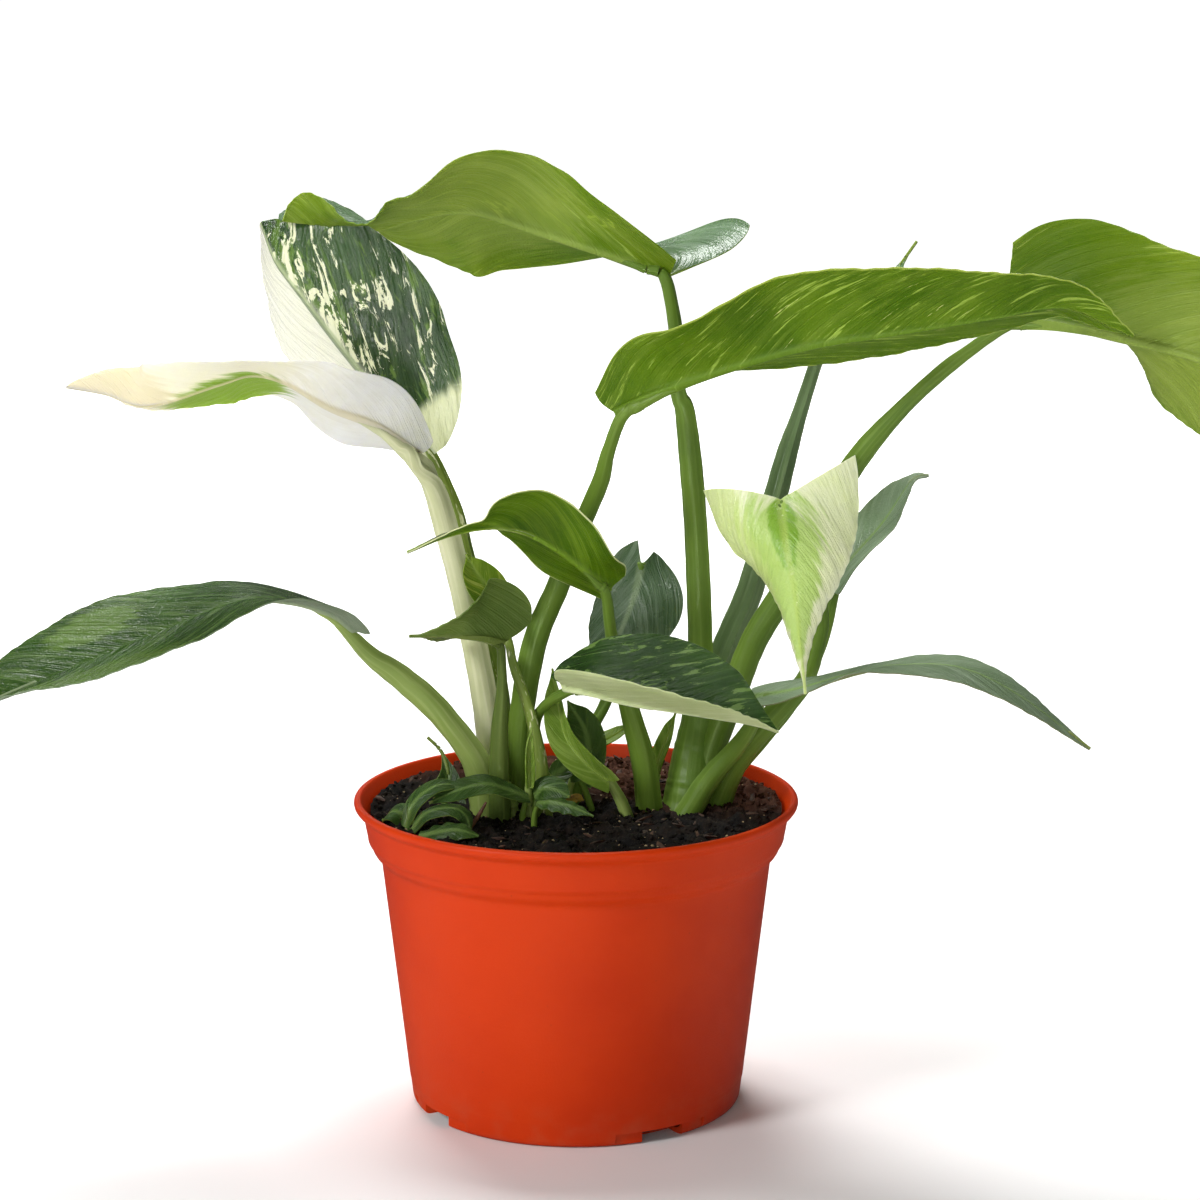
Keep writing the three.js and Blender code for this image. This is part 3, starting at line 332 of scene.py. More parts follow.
# The soil's top and how far it banks up to the wall, the height of its bumps, and its underside.
# Its outline runs from the middle of the top: share of the grid, radius, height.
SOIL = dict(top=101, bank=2.6, roughness=0.7, floor=2.1)
SOIL_OUTLINE = [(0, 0, 102), (0.86, 70.6, 102), (0.88, 70.4, 100), (0.92, 64.8, 85),
                (0.96, 54.8, 4.4), (0.98, 52.6, SOIL["floor"]), (1, 0, SOIL["floor"])]
SOIL_TOP_ENDS = 0.865

# Size and height of the soil's lumps
CLODS = [(9.0, 2.4), (3.4, 2.0), (1.3, 1.1)]

# What is strewn on the soil: how round one bit is, how many there are, how large, and their
# shape. They lie within a radius, and a share of their size above the ground.
LITTER = {
    "crumbs": dict(detail=2, seed=3, count=2200, sizes=(0.5, 2.3), stretch=(1, 0.8, 0.7)),
    "bark": dict(detail=2, seed=9, count=150, sizes=(1.2, 4), stretch=(1.5, 0.45, 0.35)),
    "pale_grains": dict(detail=1, seed=5, count=240, sizes=(0.4, 1.2), stretch=(1, 0.9, 0.6)),
}
LITTER_REACH = 69.5
LITTER_LIFT = 0.2

# What all blades share, as in the solids (which have no tear): the shape of the widening, how far
# along the blade the lobes, the drawn-in tip and the tear are, and where the left waves begin
THICKNESS = 0.7
SWELL = 0.6
LOBE_END = 0.35
DRIP_TIP = (0.78, 0.98)
TEAR = (0.6, 0.65)
LEFT_PHASE = 1.9

# A half blade is never narrower than the first, and has its full waves from the second on
NARROWEST = 0.4
FULL_WAVE = 8

# From one side vein to the next, and the thickest that a blade can be under its midrib
VEIN_STEP = 8.5
DEEPEST = 4

# A stalk's depth from groove to back, as a share of its width
STALK_FLATNESS = 0.86

# Rows and columns of the grids that blades are laid out from, and sides and rows of stalks
LARGE_BLADE = (150, 56)
SMALL_BLADE = (60, 24)
LARGE_STALK = (28, 110)
SMALL_STALK = (14, 40)
TO_THE_FRONT = np.array([0.0, -1.0, 0.0])


def smoothstep(start, end, x):
    """0 up to start, 1 from end on, and a smooth rise between."""
    t = np.clip((x - start) / (end - start), 0, 1)
    return t * t * (3 - 2 * t)


def smooth_at(values, share):
    """A smooth curve through evenly spaced values, read at shares from 0 to 1."""
    values = np.asarray(values, float)
    ends = (2 * values[:1] - values[1:2], 2 * values[-1:] - values[-2:-1])
    padded = np.concatenate([ends[0], values, ends[1]])
    place = np.clip(share, 0, 1) * (len(values) - 1)
    i = np.minimum(place.astype(int), len(values) - 2)
    t = place - i
    if values.ndim == 2:
        t = t[:, None]
    before, here, after, beyond = padded[i], padded[i + 1], padded[i + 2], padded[i + 3]
    start, end = (after - before) / 2, (beyond - here) / 2
    t2, t3 = t * t, t * t * t
    middle = (2 * t3 - 3 * t2 + 1) * here + (3 * t2 - 2 * t3) * after
    return middle + (t3 - 2 * t2 + t) * start + (t3 - t2) * end


def dot(a, b):
    return np.sum(a * b, axis=-1, keepdims=True)


def unit(a):
    return a / np.linalg.norm(a, axis=-1, keepdims=True)


class Path:
    """A smooth path through points, in millimetres, read at shares of its length."""

    def __init__(self, points):
        self.points = np.array(points, float)[:, :3]
        self.steps = np.linspace(0, 1, 801)
        laid = smooth_at(self.points, self.steps)
        gone = np.cumsum(np.linalg.norm(np.diff(laid, axis=0), axis=1))
        self.length = gone[-1]
        self.gone = np.concatenate([[0], gone]) / self.length

    def at(self, u):
        return smooth_at(self.points, np.interp(u, self.gone, self.steps))

    def forward(self, u, reach):
        return unit(self.at(np.minimum(u + reach, 1)) - self.at(np.maximum(u - reach, 0)))


class Blade:
    """A leaf's surface: u runs from the stalk to the tip, v from the left margin to the right."""

    def __init__(self, leaf):
        self.leaf = leaf
        self.rib = Path(leaf["rib"])
        share = leaf["base"] ** (1 / SWELL)
        widest = leaf["widest"]
        self.offset = widest * share / (1 - share)
        self.fall = leaf["taper"] * SWELL * (1 - widest) / (widest + self.offset)

    def half_of(self, key, right):
        """A pair's value on the half that each point is on."""
        left_one, right_one = self.leaf[key]
        return np.where(right, right_one, left_one)

    def half_width(self, u, right):
        leaf = self.leaf
        widest = leaf["widest"]
        swell = ((u + self.offset) / (widest + self.offset)) ** SWELL
        taper = (np.maximum(1 - u, 0) / (1 - widest)) ** self.fall
        tip = 1 - leaf["drip"] * smoothstep(*DRIP_TIP, u)
        broad = 1 + self.half_of("shoulder", right) * np.maximum(1 - u / LOBE_END, 0) ** 2
        torn = 1 - np.where(right, 0, leaf["torn"]) * smoothstep(*TEAR, u)
        return np.maximum(leaf["width"] * swell * taper * tip * broad * torn, NARROWEST)

    def frame(self, u):
        forward = self.rib.forward(u, self.leaf["reach"])
        up = np.array(self.leaf["up"], float)
        face = unit(up - forward * dot(forward, up))
        return self.rib.at(u), forward, face, np.cross(forward, face)

    def point(self, u, v):
        leaf = self.leaf
        at, forward, face, side = self.frame(u)
        a = np.abs(v)
        right = v > 0
        half = self.half_width(u, right)
        lift = np.where(right, smooth_at(leaf["right"], u), smooth_at(leaf["left"], u))
        bend = np.radians(self.half_of("curl", right) + 1e-4)
        start = np.radians(lift) - bend / 2
        out = (np.sin(start + bend * a) - np.sin(start)) / bend
        rise = (np.cos(start) - np.cos(start + bend * a)) / bend
        fade = np.maximum(1 - u / LOBE_END, 0) ** 2
        if leaf["full"]:
            fade = 1 - smoothstep(0, LOBE_END, u)
        form = a ** 1.3 if leaf["pointed"] else np.sin(a * np.pi / 2)
        back = self.half_of("lobe", right) * form * fade
        lobe_rise = self.half_of("lobe_lift", right) * a * fade
        height, count = leaf["wave"]
        phase = np.where(right, 0, LEFT_PHASE)
        room = np.minimum(half / FULL_WAVE, 1)
        ripple = height * a * a * np.sin(2 * np.pi * count * u + phase) * room
        across = (np.sign(v) * half * out)[:, None] * side
        raised = (half * rise + ripple + lobe_rise)[:, None] * face
        return at + across + raised - back[:, None] * forward

    def normal(self, u, v):
        step = 1e-3
        u0 = np.clip(u - step, 0, 1 - 2 * step)
        v0 = np.clip(v - step, -1, 1 - 2 * step)
        across = self.point(u, v0 + 2 * step) - self.point(u, v0)
        along = self.point(u0 + 2 * step, v) - self.point(u0, v)
        return unit(np.cross(across, along))


# Adding, shaping and finishing pieces

def only(*pieces):
    """Selects these pieces alone."""
    bpy.ops.object.select_all(action="DESELECT")
    for piece in pieces:
        piece.select_set(True)
    bpy.context.view_layer.objects.active = pieces[0]


def added(name, add, **settings):
    """Adds a new piece with nothing else selected, and names it."""
    bpy.ops.object.select_all(action="DESELECT")
    add(**settings)
    piece = bpy.context.object
    piece.name = name
    piece.data.name = name
    return piece


def flat_grid(name, across, along):
    """A grid from -1 to 1 both ways, to be laid out as a blade or rolled up as a stalk."""
    return added(name, bpy.ops.mesh.primitive_grid_add,
                 x_subdivisions=across, y_subdivisions=along, size=2)


def coordinates(piece):
    places = np.empty(len(piece.data.vertices) * 3)
    piece.data.vertices.foreach_get("co", places)
    return places.reshape(-1, 3)


def lay_out(piece, places):
    """Moves the vertices to places given in millimetres."""
    piece.data.vertices.foreach_set("co", (places * MM).ravel())
    piece.data.update()


def corner_map(piece, name, values):
    """A UV map from two values a vertex."""
    uv = piece.data.uv_layers.get(name) or piece.data.uv_layers.new(name=name)
    corners = np.empty(len(piece.data.loops), int)
    piece.data.loops.foreach_get("vertex_index", corners)
    uv.data.foreach_set("uv", values[corners].ravel())


def edit(piece, *steps):
    """Runs edit mode steps on the whole piece."""
    only(piece)
    bpy.ops.object.mode_set(mode="EDIT")
    bpy.ops.mesh.select_all(action="SELECT")
    for step in steps:
        step()
    bpy.ops.object.mode_set(mode="OBJECT")


def weld():
    bpy.ops.mesh.remove_doubles(threshold=1e-6)


def close_ends():
    """Fills the open ends of a tube."""
    bpy.ops.mesh.select_all(action="DESELECT")
    bpy.ops.mesh.select_non_manifold(extend=False)
    bpy.ops.mesh.fill_holes(sides=0)
    bpy.ops.mesh.select_all(action="SELECT")


def face_outwards():
    bpy.ops.mesh.normals_make_consistent(inside=False)


def smooth(piece, angle):
    only(piece)
    bpy.ops.object.shade_smooth_by_angle(angle=math.radians(angle))


def apply_all(piece):
    only(piece)
    for modifier in list(piece.modifiers):
        bpy.ops.object.modifier_apply(modifier=modifier.name)


def finish(piece, material, node, replaces=True):
    """Gives the piece its material unless it has some, and puts it in its node's place or by it."""
    if material:
        piece.data.materials.clear()
        piece.data.materials.append(material)
    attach(piece, "root")
    if replaces:
        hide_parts(node)


# Leaves

def make_blade(name, leaf, faces, rows, columns):
    """A blade with a quilted face, a grooved midrib above and a round one below."""
    blade = Blade(leaf)
    piece = flat_grid(name, columns, rows)
    for face in faces:
        piece.data.materials.append(face)
    flat = coordinates(piece)
    # The rows stand closer at both ends, and the columns at the midrib
    v = np.sign(flat[:, 0]) * np.abs(flat[:, 0]) ** 1.4
    t = (flat[:, 1] + 1) / 2
    u = t - 0.09 * np.sin(2 * np.pi * t)
    half = blade.half_width(u, v > 0)
    along = u * blade.rib.length - 1.4 * np.abs(v) * half - 0.5 * v * v * half
    out = np.abs(v) * half
    corner_map(piece, "UVMap", np.column_stack([(v + 1) / 2, u]))
    corner_map(piece, "veins", np.column_stack([along, v * half]) * MM)

    # Between its veins the blade swells up a little, more so half way out
    room = np.sin(np.pi * np.clip(np.abs(v), 0, 1)) * smoothstep(0, 0.1, u) * smoothstep(1, 0.8, u)
    size = min(leaf["width"] / 24, 1.2)
    quilt = -0.06 * size * np.cos(2 * np.pi * along / VEIN_STEP) * room
    groove = -0.35 * size * np.exp(-(out / (0.9 * size)) ** 2) * (1 - u)
    wander = 0.3 * size * v * v * np.sin(along * 0.55 + 2 * v) * np.sin(along * 0.23 + 1)
    raised = THICKNESS / 2 + quilt + groove + wander * np.minimum(half / FULL_WAVE, 1)
    lay_out(piece, blade.point(u, v) + blade.normal(u, v) * raised[:, None])

    # The midrib stands out of the underside, and the margins are thin
    ridge = 1.25 * leaf["width"] / 20 * (1 - u) ** 1.4
    width = 0.5 + 1.1 * size * (1 - u) ** 0.8
    deep = 0.62 - 0.25 * v ** 6 + ridge * np.exp(-(out / width) ** 2)
    group = piece.vertex_groups.new(name="thickness")
    for index, share in enumerate(deep / DEEPEST):
        group.add([index], float(share), "REPLACE")
    wall = piece.modifiers.new("wall", "SOLIDIFY")
    wall.thickness = DEEPEST * MM
    wall.offset = -1
    wall.vertex_group = "thickness"
    wall.material_offset = 1
    wall.material_offset_rim = 1
    apply_all(piece)
    piece.vertex_groups.clear()
    smooth(piece, 60)
    return piece


def wings(around, t, reach):
    """The sheath along both sides of the groove: two low wings that stop at a small notch."""
    if not reach:
        return np.zeros_like(t)
    sides = np.exp(-((np.abs(around) - 0.62) / 0.2) ** 2)
    return 0.28 * sides * smoothstep(reach, reach - 0.025, t) * (1 - 0.35 * t / reach)


def make_stalk(name, points, groove_side, sides, rows, groove=0.4, reach=0, rings=0):
    """A stalk rolled from a grid: flattened, and grooved down the side that its blade faces."""
    piece = flat_grid(name, sides, rows)
    flat = coordinates(piece)
    around = flat[:, 0] * np.pi
    t = (flat[:, 1] + 1) / 2
    places = np.array(points, float)[:, :3]
    radii = [row[3] for row in points]
    at = smooth_at(places, t)
    forward = unit(smooth_at(places, t + 1e-3) - smooth_at(places, t - 1e-3))
    front = unit(groove_side - forward * dot(forward, groove_side))
    side = np.cross(forward, front)
    gone = Path(points).length * t
    dip = groove * np.exp(-(around / 0.45) ** 2)
    uneven = 0.02 * np.sin(gone * 0.21 + 2 * around) + 0.012 * np.sin(gone * 0.9 + around)
    scars = rings * np.exp(-(((t * 5) % 1 - 0.5) / 0.07) ** 2)
    radius = smooth_at(radii, t) * (1 - dip + wings(around, t, reach) + uneven + scars)
    corner_map(piece, "UVMap", np.column_stack([(around / np.pi + 1) / 2, t]))
    corner_map(piece, "veins", np.column_stack([gone, around * np.mean(radii)]) * MM)
    sideways = (radius * np.sin(around))[:, None] * side
    frontways = (radius * np.cos(around) * STALK_FLATNESS)[:, None] * front
    lay_out(piece, at + sideways + frontways)
    edit(piece, weld, close_ends, face_outwards)
    smooth(piece, 60)
    return piece


def stalk_points(leaf):
    """The stalk's points, led on under the midrib until it is lost in it."""
    blade = Blade(leaf)
    points = list(leaf["stalk"])
    for u, share in ((0.01, 0.95), (0.06, 0.7), (0.12, 0.45), (0.2, 0.2)):
        u = np.array([u])
        at = blade.point(u, np.array([0.0]))[0]
        face = blade.frame(u)[2][0]
        radius = leaf["neck"] * share
        points.append((*(at - face * (0.1 + 0.75 * radius)), radius))
    return points


def groove_of(leaf):
    return unit(np.array(leaf["rib"][0], float) - np.array(leaf["rib"][2], float))


# Materials

def paint(code):
    """A colour written as six hex digits, made linear."""
    shades = [int(code[i:i + 2], 16) / 255 for i in (0, 2, 4)]
    linear = [s / 12.92 if s <= 0.04045 else ((s + 0.055) / 1.055) ** 2.4 for s in shades]
    return (*linear, 1)


class Finish:
    """A material being put together from nodes, with the colour that it has so far."""

    def __init__(self, name, ground):
        self.material = bpy.data.materials.new(name)
        self.material.use_nodes = True
        self.tree = self.material.node_tree
        self.shader = self.tree.nodes["Principled BSDF"]
        self.place = self.add("ShaderNodeTexCoord").outputs["Object"]
        self.colour = paint(ground)

    def feed(self, socket, value):
        """Links a socket, or sets a value on it."""
        if isinstance(value, bpy.types.NodeSocket):
            self.tree.links.new(value, socket)
        else:
            socket.default_value = value

    def give(self, socket, value):
        """Links or sets one of the shader's own sockets."""
        self.feed(self.shader.inputs[socket], value)

    def add(self, kind, inputs=None, **settings):
        node = self.tree.nodes.new(kind)
        for setting, value in settings.items():
            setattr(node, setting, value)
        for socket, value in (inputs or {}).items():
            self.feed(node.inputs[socket], value)
        return node

    def math(self, operation, one, other=0.0):
        return self.add("ShaderNodeMath", {0: one, 1: other}, operation=operation).outputs[0]

    def times(self, one, other):
        return self.math("MULTIPLY", one, other)

    def plus(self, one, other):
        return self.math("ADD", one, other)

    def minus(self, one, other):
        return self.math("SUBTRACT", one, other)

    def absolute(self, one):
        return self.math("ABSOLUTE", one)

    def rise(self, value, start, end):
        """0 up to start and 1 from end on, or the other way round where start is the larger."""
        upwards = start < end
        inputs = {"Value": value, "From Min": min(start, end), "From Max": max(start, end),
                  "To Min": 1 - upwards, "To Max": int(upwards)}
        rising = self.add("ShaderNodeMapRange", inputs, interpolation_type="SMOOTHSTEP")
        return rising.outputs["Result"]

    def coat(self, code, share):
        """Lays another colour over what is there."""
        inputs = {0: share, 6: self.colour, 7: paint(code)}
        self.colour = self.add("ShaderNodeMix", inputs, data_type="RGBA").outputs[2]

    def uv(self, name):
        return self.add("ShaderNodeUVMap", uv_map=name).outputs["UV"]

    def parts(self, place):
        return self.add("ShaderNodeSeparateXYZ", {0: place}).outputs

    def noise(self, place, scale, detail=3, roughness=0.5, distortion=0, stretch=None):
        """Noise, drawn out along an axis where its stretch is less than 1."""
        if stretch:
            mapping = self.add("ShaderNodeMapping", {"Vector": place, "Scale": stretch})
            place = mapping.outputs["Vector"]
        inputs = {"Vector": place, "Scale": scale, "Detail": detail, "Roughness": roughness,
                  "Distortion": distortion}
        return self.add("ShaderNodeTexNoise", inputs).outputs["Fac"]

    def cells(self, scale):
        inputs = {"Vector": self.place, "Scale": scale}
        return self.add("ShaderNodeTexVoronoi", inputs).outputs["Distance"]

    def bump(self, height, distance, strength):
        inputs = {"Height": height, "Distance": distance * MM, "Strength": strength}
        self.give("Normal", self.add("ShaderNodeBump", inputs).outputs["Normal"])

    def gloss(self, shine, rough, uneven, scale=60):
        """Roughness that wanders round a value."""
        inputs = {"Value": self.noise(self.place, scale, 4), "To Min": rough - uneven,
                  "To Max": rough + uneven}
        self.give("Roughness", self.add("ShaderNodeMapRange", inputs).outputs["Result"])
        self.give("Specular IOR Level", shine)

    def see_through(self, share, reach, tint=(1, 1, 0.7)):
        """Light passes into and through a thin wall."""
        self.give("Subsurface Weight", share)
        self.give("Subsurface Radius", tint)
        self.give("Subsurface Scale", reach * MM)

    def done(self):
        self.give("Base Color", self.colour)
        return self.material


def leaf_face(name, tones, streaks=0.5, cover=(0.5, 0.66), painted_sheen=0.3, marbling=(), patches=(),
              flecks=(), rim=None, rough=0.35, shine=0.25, veins=0.12, pucker=0.3, lumps=330,
              glow=0.25):
    """One side of a leaf: two tones, streaks and a painted sheen along its veins, then its markings.

    tones: the two grounds, then streaks (also the colour of the painted sheen), veins and midrib.
    marbling: colour, share covered, scale and edge, then how far from the rib, in millimetres,
    it is densest and is back to its share, and how much denser it is there.
    patches: middle across (-1 to 1) and along (0 to 1), half the width and length, colour, how
    ragged, and how strong. flecks: colour, share covered and scale.
    """
    ground, deep, streak, vein, rib = tones.split()
    face = Finish(name, ground)
    run = face.uv("veins")
    s, t, _ = face.parts(run)
    across, along, _ = face.parts(face.uv("UVMap"))
    face.coat(deep, face.rise(face.noise(face.place, 34, 5, 0.6), 0.36, 0.64))
    # Painted sheen: long pale streaks along the veins, in the streak tone
    sheen = face.noise(run, 120, 4, 0.6, 0.4, stretch=(1, 0.16, 1))
    face.coat(streak, face.times(face.rise(sheen, 0.45, 0.75), painted_sheen))
    grain = face.noise(run, 330, 5, 0.65, 0.3, stretch=(1, 0.2, 1))
    face.coat(streak, face.times(face.rise(grain, *cover), streaks))
    for shade, share, scale, edge, near, far, more in marbling:
        drift = face.noise(run, scale, 6, 0.66, 1.1, stretch=(0.7, 0.9, 1))
        inner = face.rise(face.absolute(t), far * MM, near * MM)
        level = face.plus(drift, face.times(inner, more))
        face.coat(shade, face.rise(level, 1 - share, 1 - share + edge))
    for v, u, wide, long, shade, ragged, strength in patches:
        aside = face.math("DIVIDE", face.minus(across, (v + 1) / 2), wide / 2)
        ahead = face.math("DIVIDE", face.minus(along, u), long)
        squares = face.plus(face.math("POWER", aside, 2), face.math("POWER", ahead, 2))
        frayed = face.noise(run, 190, 5, 0.6, stretch=(1, 0.45, 1))
        fray = face.times(face.minus(frayed, 0.5), ragged)
        inside = face.rise(face.plus(face.math("SQRT", squares), fray), 1.15, 0.85)
        face.coat(shade, face.times(inside, strength))
    main = face.rise(face.math("PINGPONG", s, VEIN_STEP / 2 * MM), 0.8 * MM, 0)
    fine = face.rise(face.math("PINGPONG", s, VEIN_STEP / 12 * MM), 0.3 * MM, 0)
    lines = face.math("MAXIMUM", main, face.times(fine, 0.3))
    face.coat(vein, face.times(lines, veins))
    for shade, share, scale in flecks:
        specks = face.noise(run, scale, 4, 0.7, stretch=(1, 0.3, 1))
        face.coat(shade, face.rise(specks, 1 - share, 1.06 - share))
    # The midrib's pale line narrows towards the tip
    off_rib = face.math("DIVIDE", face.absolute(t), face.minus(1.2, along))
    face.coat(rib, face.times(face.rise(off_rib, 2.0 * MM, 0.4 * MM), 0.7))
    if rim:
        face.coat(rim, face.rise(face.absolute(face.minus(across, 0.5)), 0.484, 0.496))
    puckered = face.noise(run, lumps, 4, 0.6, stretch=(1, 0.6, 1))
    relief = face.plus(face.times(puckered, pucker * 5), face.times(face.cells(1300), 0.25))
    face.bump(face.minus(relief, face.times(lines, 3.3 * veins)), 0.4, 0.8)
    face.gloss(shine, rough, 0.08)
    face.see_through(glow, 1.6)
    return face.done()


def stalk_finish(name, tones, lines=0.5, flecks=(), rough=0.4, glow=0.15):
    """A stalk: fine lines run up it, it is darker in places, and painted shade runs down its groove."""
    ground, deep, line = tones.split()
    stalk = Finish(name, ground)
    around, _, _ = stalk.parts(stalk.uv("UVMap"))
    run = stalk.uv("veins")
    stalk.coat(deep, stalk.rise(stalk.noise(stalk.place, 30, 4), 0.35, 0.7))
    ribs = stalk.noise(run, 900, 3, 0.6, stretch=(0.03, 1, 1))
    stalk.coat(line, stalk.times(stalk.rise(ribs, 0.45, 0.7), lines))
    for shade, share, scale in flecks:
        specks = stalk.noise(run, scale, 3, 0.65, stretch=(0.22, 1, 1))
        stalk.coat(shade, stalk.rise(specks, 1 - share, 1.05 - share))
    # Painted shade down the groove
    from_groove = stalk.absolute(stalk.minus(around, 0.5))
    stalk.coat(deep, stalk.times(stalk.rise(from_groove, 0.1, 0.02), 0.4))
    stalk.bump(stalk.plus(ribs, stalk.times(stalk.cells(900), 0.2)), 0.3, 0.5)
    stalk.gloss(0.25, rough, 0.08)
    stalk.see_through(glow, 2)
    return stalk.done()


def pot_finish():
    """Satin orange plastic, with faint moulding lines round it and scuffs low down."""
    pot = Finish("pot_plastic", "cc3906")
    _, _, z = pot.parts(pot.place)
    pot.coat("c03004", pot.rise(pot.noise(pot.place, 14, 4), 0.35, 0.7))
    dust = pot.times(pot.rise(z, 0.02, 0), pot.rise(pot.noise(pot.place, 90, 5), 0.4, 0.7))
    pot.coat("b8583a", pot.times(dust, 0.35))
    pot.coat("8e3216", pot.times(pot.rise(pot.noise(pot.place, 700, 2), 0.74, 0.78), 0.35))
    rings = pot.noise(pot.place, 1600, 2, stretch=(0.02, 0.02, 1))
    pot.bump(pot.plus(pot.times(rings, 0.5), pot.noise(pot.place, 1400, 3)), 0.12, 0.5)
    pot.gloss(0.15, 0.42, 0.06, 40)
    pot.see_through(0.08, 1.5, (1, 0.3, 0.1))
    return pot.done()


def soil_finish():
    """Damp black mix, dry and browner behind on the right, with grit and paler grains."""
    soil = Finish("potting_soil", "0b0807")
    soil.coat("1e150e", soil.rise(soil.noise(soil.place, 160, 6, 0.65), 0.4, 0.65))
    x, y, _ = soil.parts(soil.place)
    aside = soil.plus(y, soil.times(x, 0.45))
    uneven = soil.plus(aside, soil.times(soil.noise(soil.place, 40, 4), 0.06))
    soil.coat("5a3422", soil.times(soil.rise(uneven, 0.035, 0.075), 0.7))
    soil.coat("46341f", soil.times(soil.rise(soil.cells(620), 0.16, 0.08), 0.5))
    soil.coat("b9a78c", soil.times(soil.rise(soil.noise(soil.place, 900, 2), 0.73, 0.76), 0.5))
    soil.bump(soil.noise(soil.place, 700, 6, 0.7), 0.8, 0.9)
    soil.gloss(0.25, 0.85, 0.1, 300)
    return soil.done()


def bit_finish(name, one, other):
    """Bark, grains, twigs and dry bits lying on the soil."""
    bit = Finish(name, one)
    bit.coat(other, bit.rise(bit.noise(bit.place, 260, 5, 0.6), 0.35, 0.65))
    bit.bump(bit.noise(bit.place, 1300, 4), 0.3, 0.7)
    bit.gloss(0.5, 0.7, 0.08, 300)
    return bit.done()


# Pot and soil

def stand(piece, outline):
    """Places the vertices at (radius, height) in the XZ plane."""
    for vertex, (radius, height) in zip(piece.data.vertices, outline):
        vertex.co = (radius * MM, 0, height * MM)


def open_loop(name, outline):
    """An outline without an edge from its end back to its start."""
    piece = added(name, bpy.ops.mesh.primitive_circle_add,
                  vertices=len(outline), radius=1, fill_type="NOTHING")
    stand(piece, outline)
    bpy.ops.object.mode_set(mode="EDIT")
    bpy.ops.mesh.select_mode(type="EDGE")
    bpy.ops.mesh.select_all(action="DESELECT")
    bpy.ops.object.mode_set(mode="OBJECT")
    last = len(outline) - 1
    for edge in piece.data.edges:
        edge.select = set(edge.vertices) == {0, last}
    bpy.ops.object.mode_set(mode="EDIT")
    bpy.ops.mesh.delete(type="EDGE")
    bpy.ops.mesh.select_mode(type="VERT")
    bpy.ops.object.mode_set(mode="OBJECT")
    return piece


def spin(piece, steps, degrees):
    """Spins an outline round the pot's axis."""
    turn = dict(steps=steps, angle=math.radians(degrees), center=(0, 0, 0), axis=(0, 0, 1))
    edit(piece, lambda: bpy.ops.mesh.spin(**turn))
    edit(piece, weld, face_outwards)


def ring_block(inside, degrees, angle):
    """A cutter: a block from a radius out past the foot, as wide as the angle given."""
    radii = (inside, NOTCH["outside"])
    piece = added("cutter", bpy.ops.mesh.primitive_plane_add, size=1)
    stand(piece, [(radius, height) for height in (-1, NOTCH["height"]) for radius in radii])
    # A spin runs clockwise, seen from above
    piece.data.transform(Matrix.Rotation(math.radians(angle - 90 + degrees / 2), 4, "Z"))
    spin(piece, 12, degrees)
    return piece


def cut(piece, cutter):
    """Cuts one piece away from another."""
    notch = piece.modifiers.new("notch", "BOOLEAN")
    notch.operation = "DIFFERENCE"
    notch.solver = "EXACT"
    notch.object = cutter
    apply_all(piece)
    bpy.data.objects.remove(cutter)


def make_pot():
    pot = open_loop("pot_shell", POT_OUTLINE)
    spin(pot, 192, 360)
    for angle in NOTCH["angles"]:
        cut(pot, ring_block(NOTCH["foot"] - NOTCH["depth"], NOTCH["panel"], angle))
        cut(pot, ring_block(NOTCH["inside"], NOTCH["opening"], angle))
    edit(pot, weld)
    smooth(pot, 30)
    return pot


def soil_height(x, y):
    """The solid's own gentle bumps, in millimetres."""
    r = np.hypot(x, y)
    bumps = (np.sin(x * 0.31 + 1.2) * np.cos(y * 0.27 - 0.6)
             + 0.6 * np.sin(x * 0.11 - y * 0.53 + 2) + 0.4 * np.cos(x * 0.71 + y * 0.33))
    edges = smoothstep(0, 8, r) * (1 - 0.6 * smoothstep(64, 70, r))
    return SOIL["top"] + SOIL["bank"] * smoothstep(30, 64, r) + SOIL["roughness"] * bumps * edges


def clods(x, y):
    """Lumps and grit at three sizes."""
    total = 0
    for size, height in CLODS:
        total += height * noise.noise(Vector((x / size, y / size, size)))
    return total


def make_soil():
    """A disc rolled from a grid: a rough top, then down the wall and under."""
    piece = flat_grid("soil_mix", 300, 130)
    flat = coordinates(piece)
    around = flat[:, 0] * np.pi
    t = (flat[:, 1] + 1) / 2
    shares, radii, heights = zip(*SOIL_OUTLINE)
    radius = np.interp(t, shares, radii)
    x, y = radius * np.cos(around), radius * np.sin(around)
    top = t < SOIL_TOP_ENDS
    rough = np.array([clods(a, b) if on else 0 for a, b, on in zip(x, y, top)])
    rough = soil_height(x, y) + rough * (1 - 0.5 * smoothstep(68, 70.6, radius))
    z = np.where(top, rough, np.interp(t, shares, heights))
    lay_out(piece, np.column_stack([x, y, z]))
    edit(piece, weld, face_outwards)
    smooth(piece, 50)
    return piece


def crumb(name, detail, seed):
    """One rough crumb, about a millimetre across."""
    piece = added(name, bpy.ops.mesh.primitive_ico_sphere_add,
                  subdivisions=detail, radius=0.5 * MM)
    for vertex in piece.data.vertices:
        lump = noise.noise(vertex.co / (0.45 * MM) + Vector((seed, seed, 0)))
        vertex.co *= 1 + 0.8 * lump
    return piece


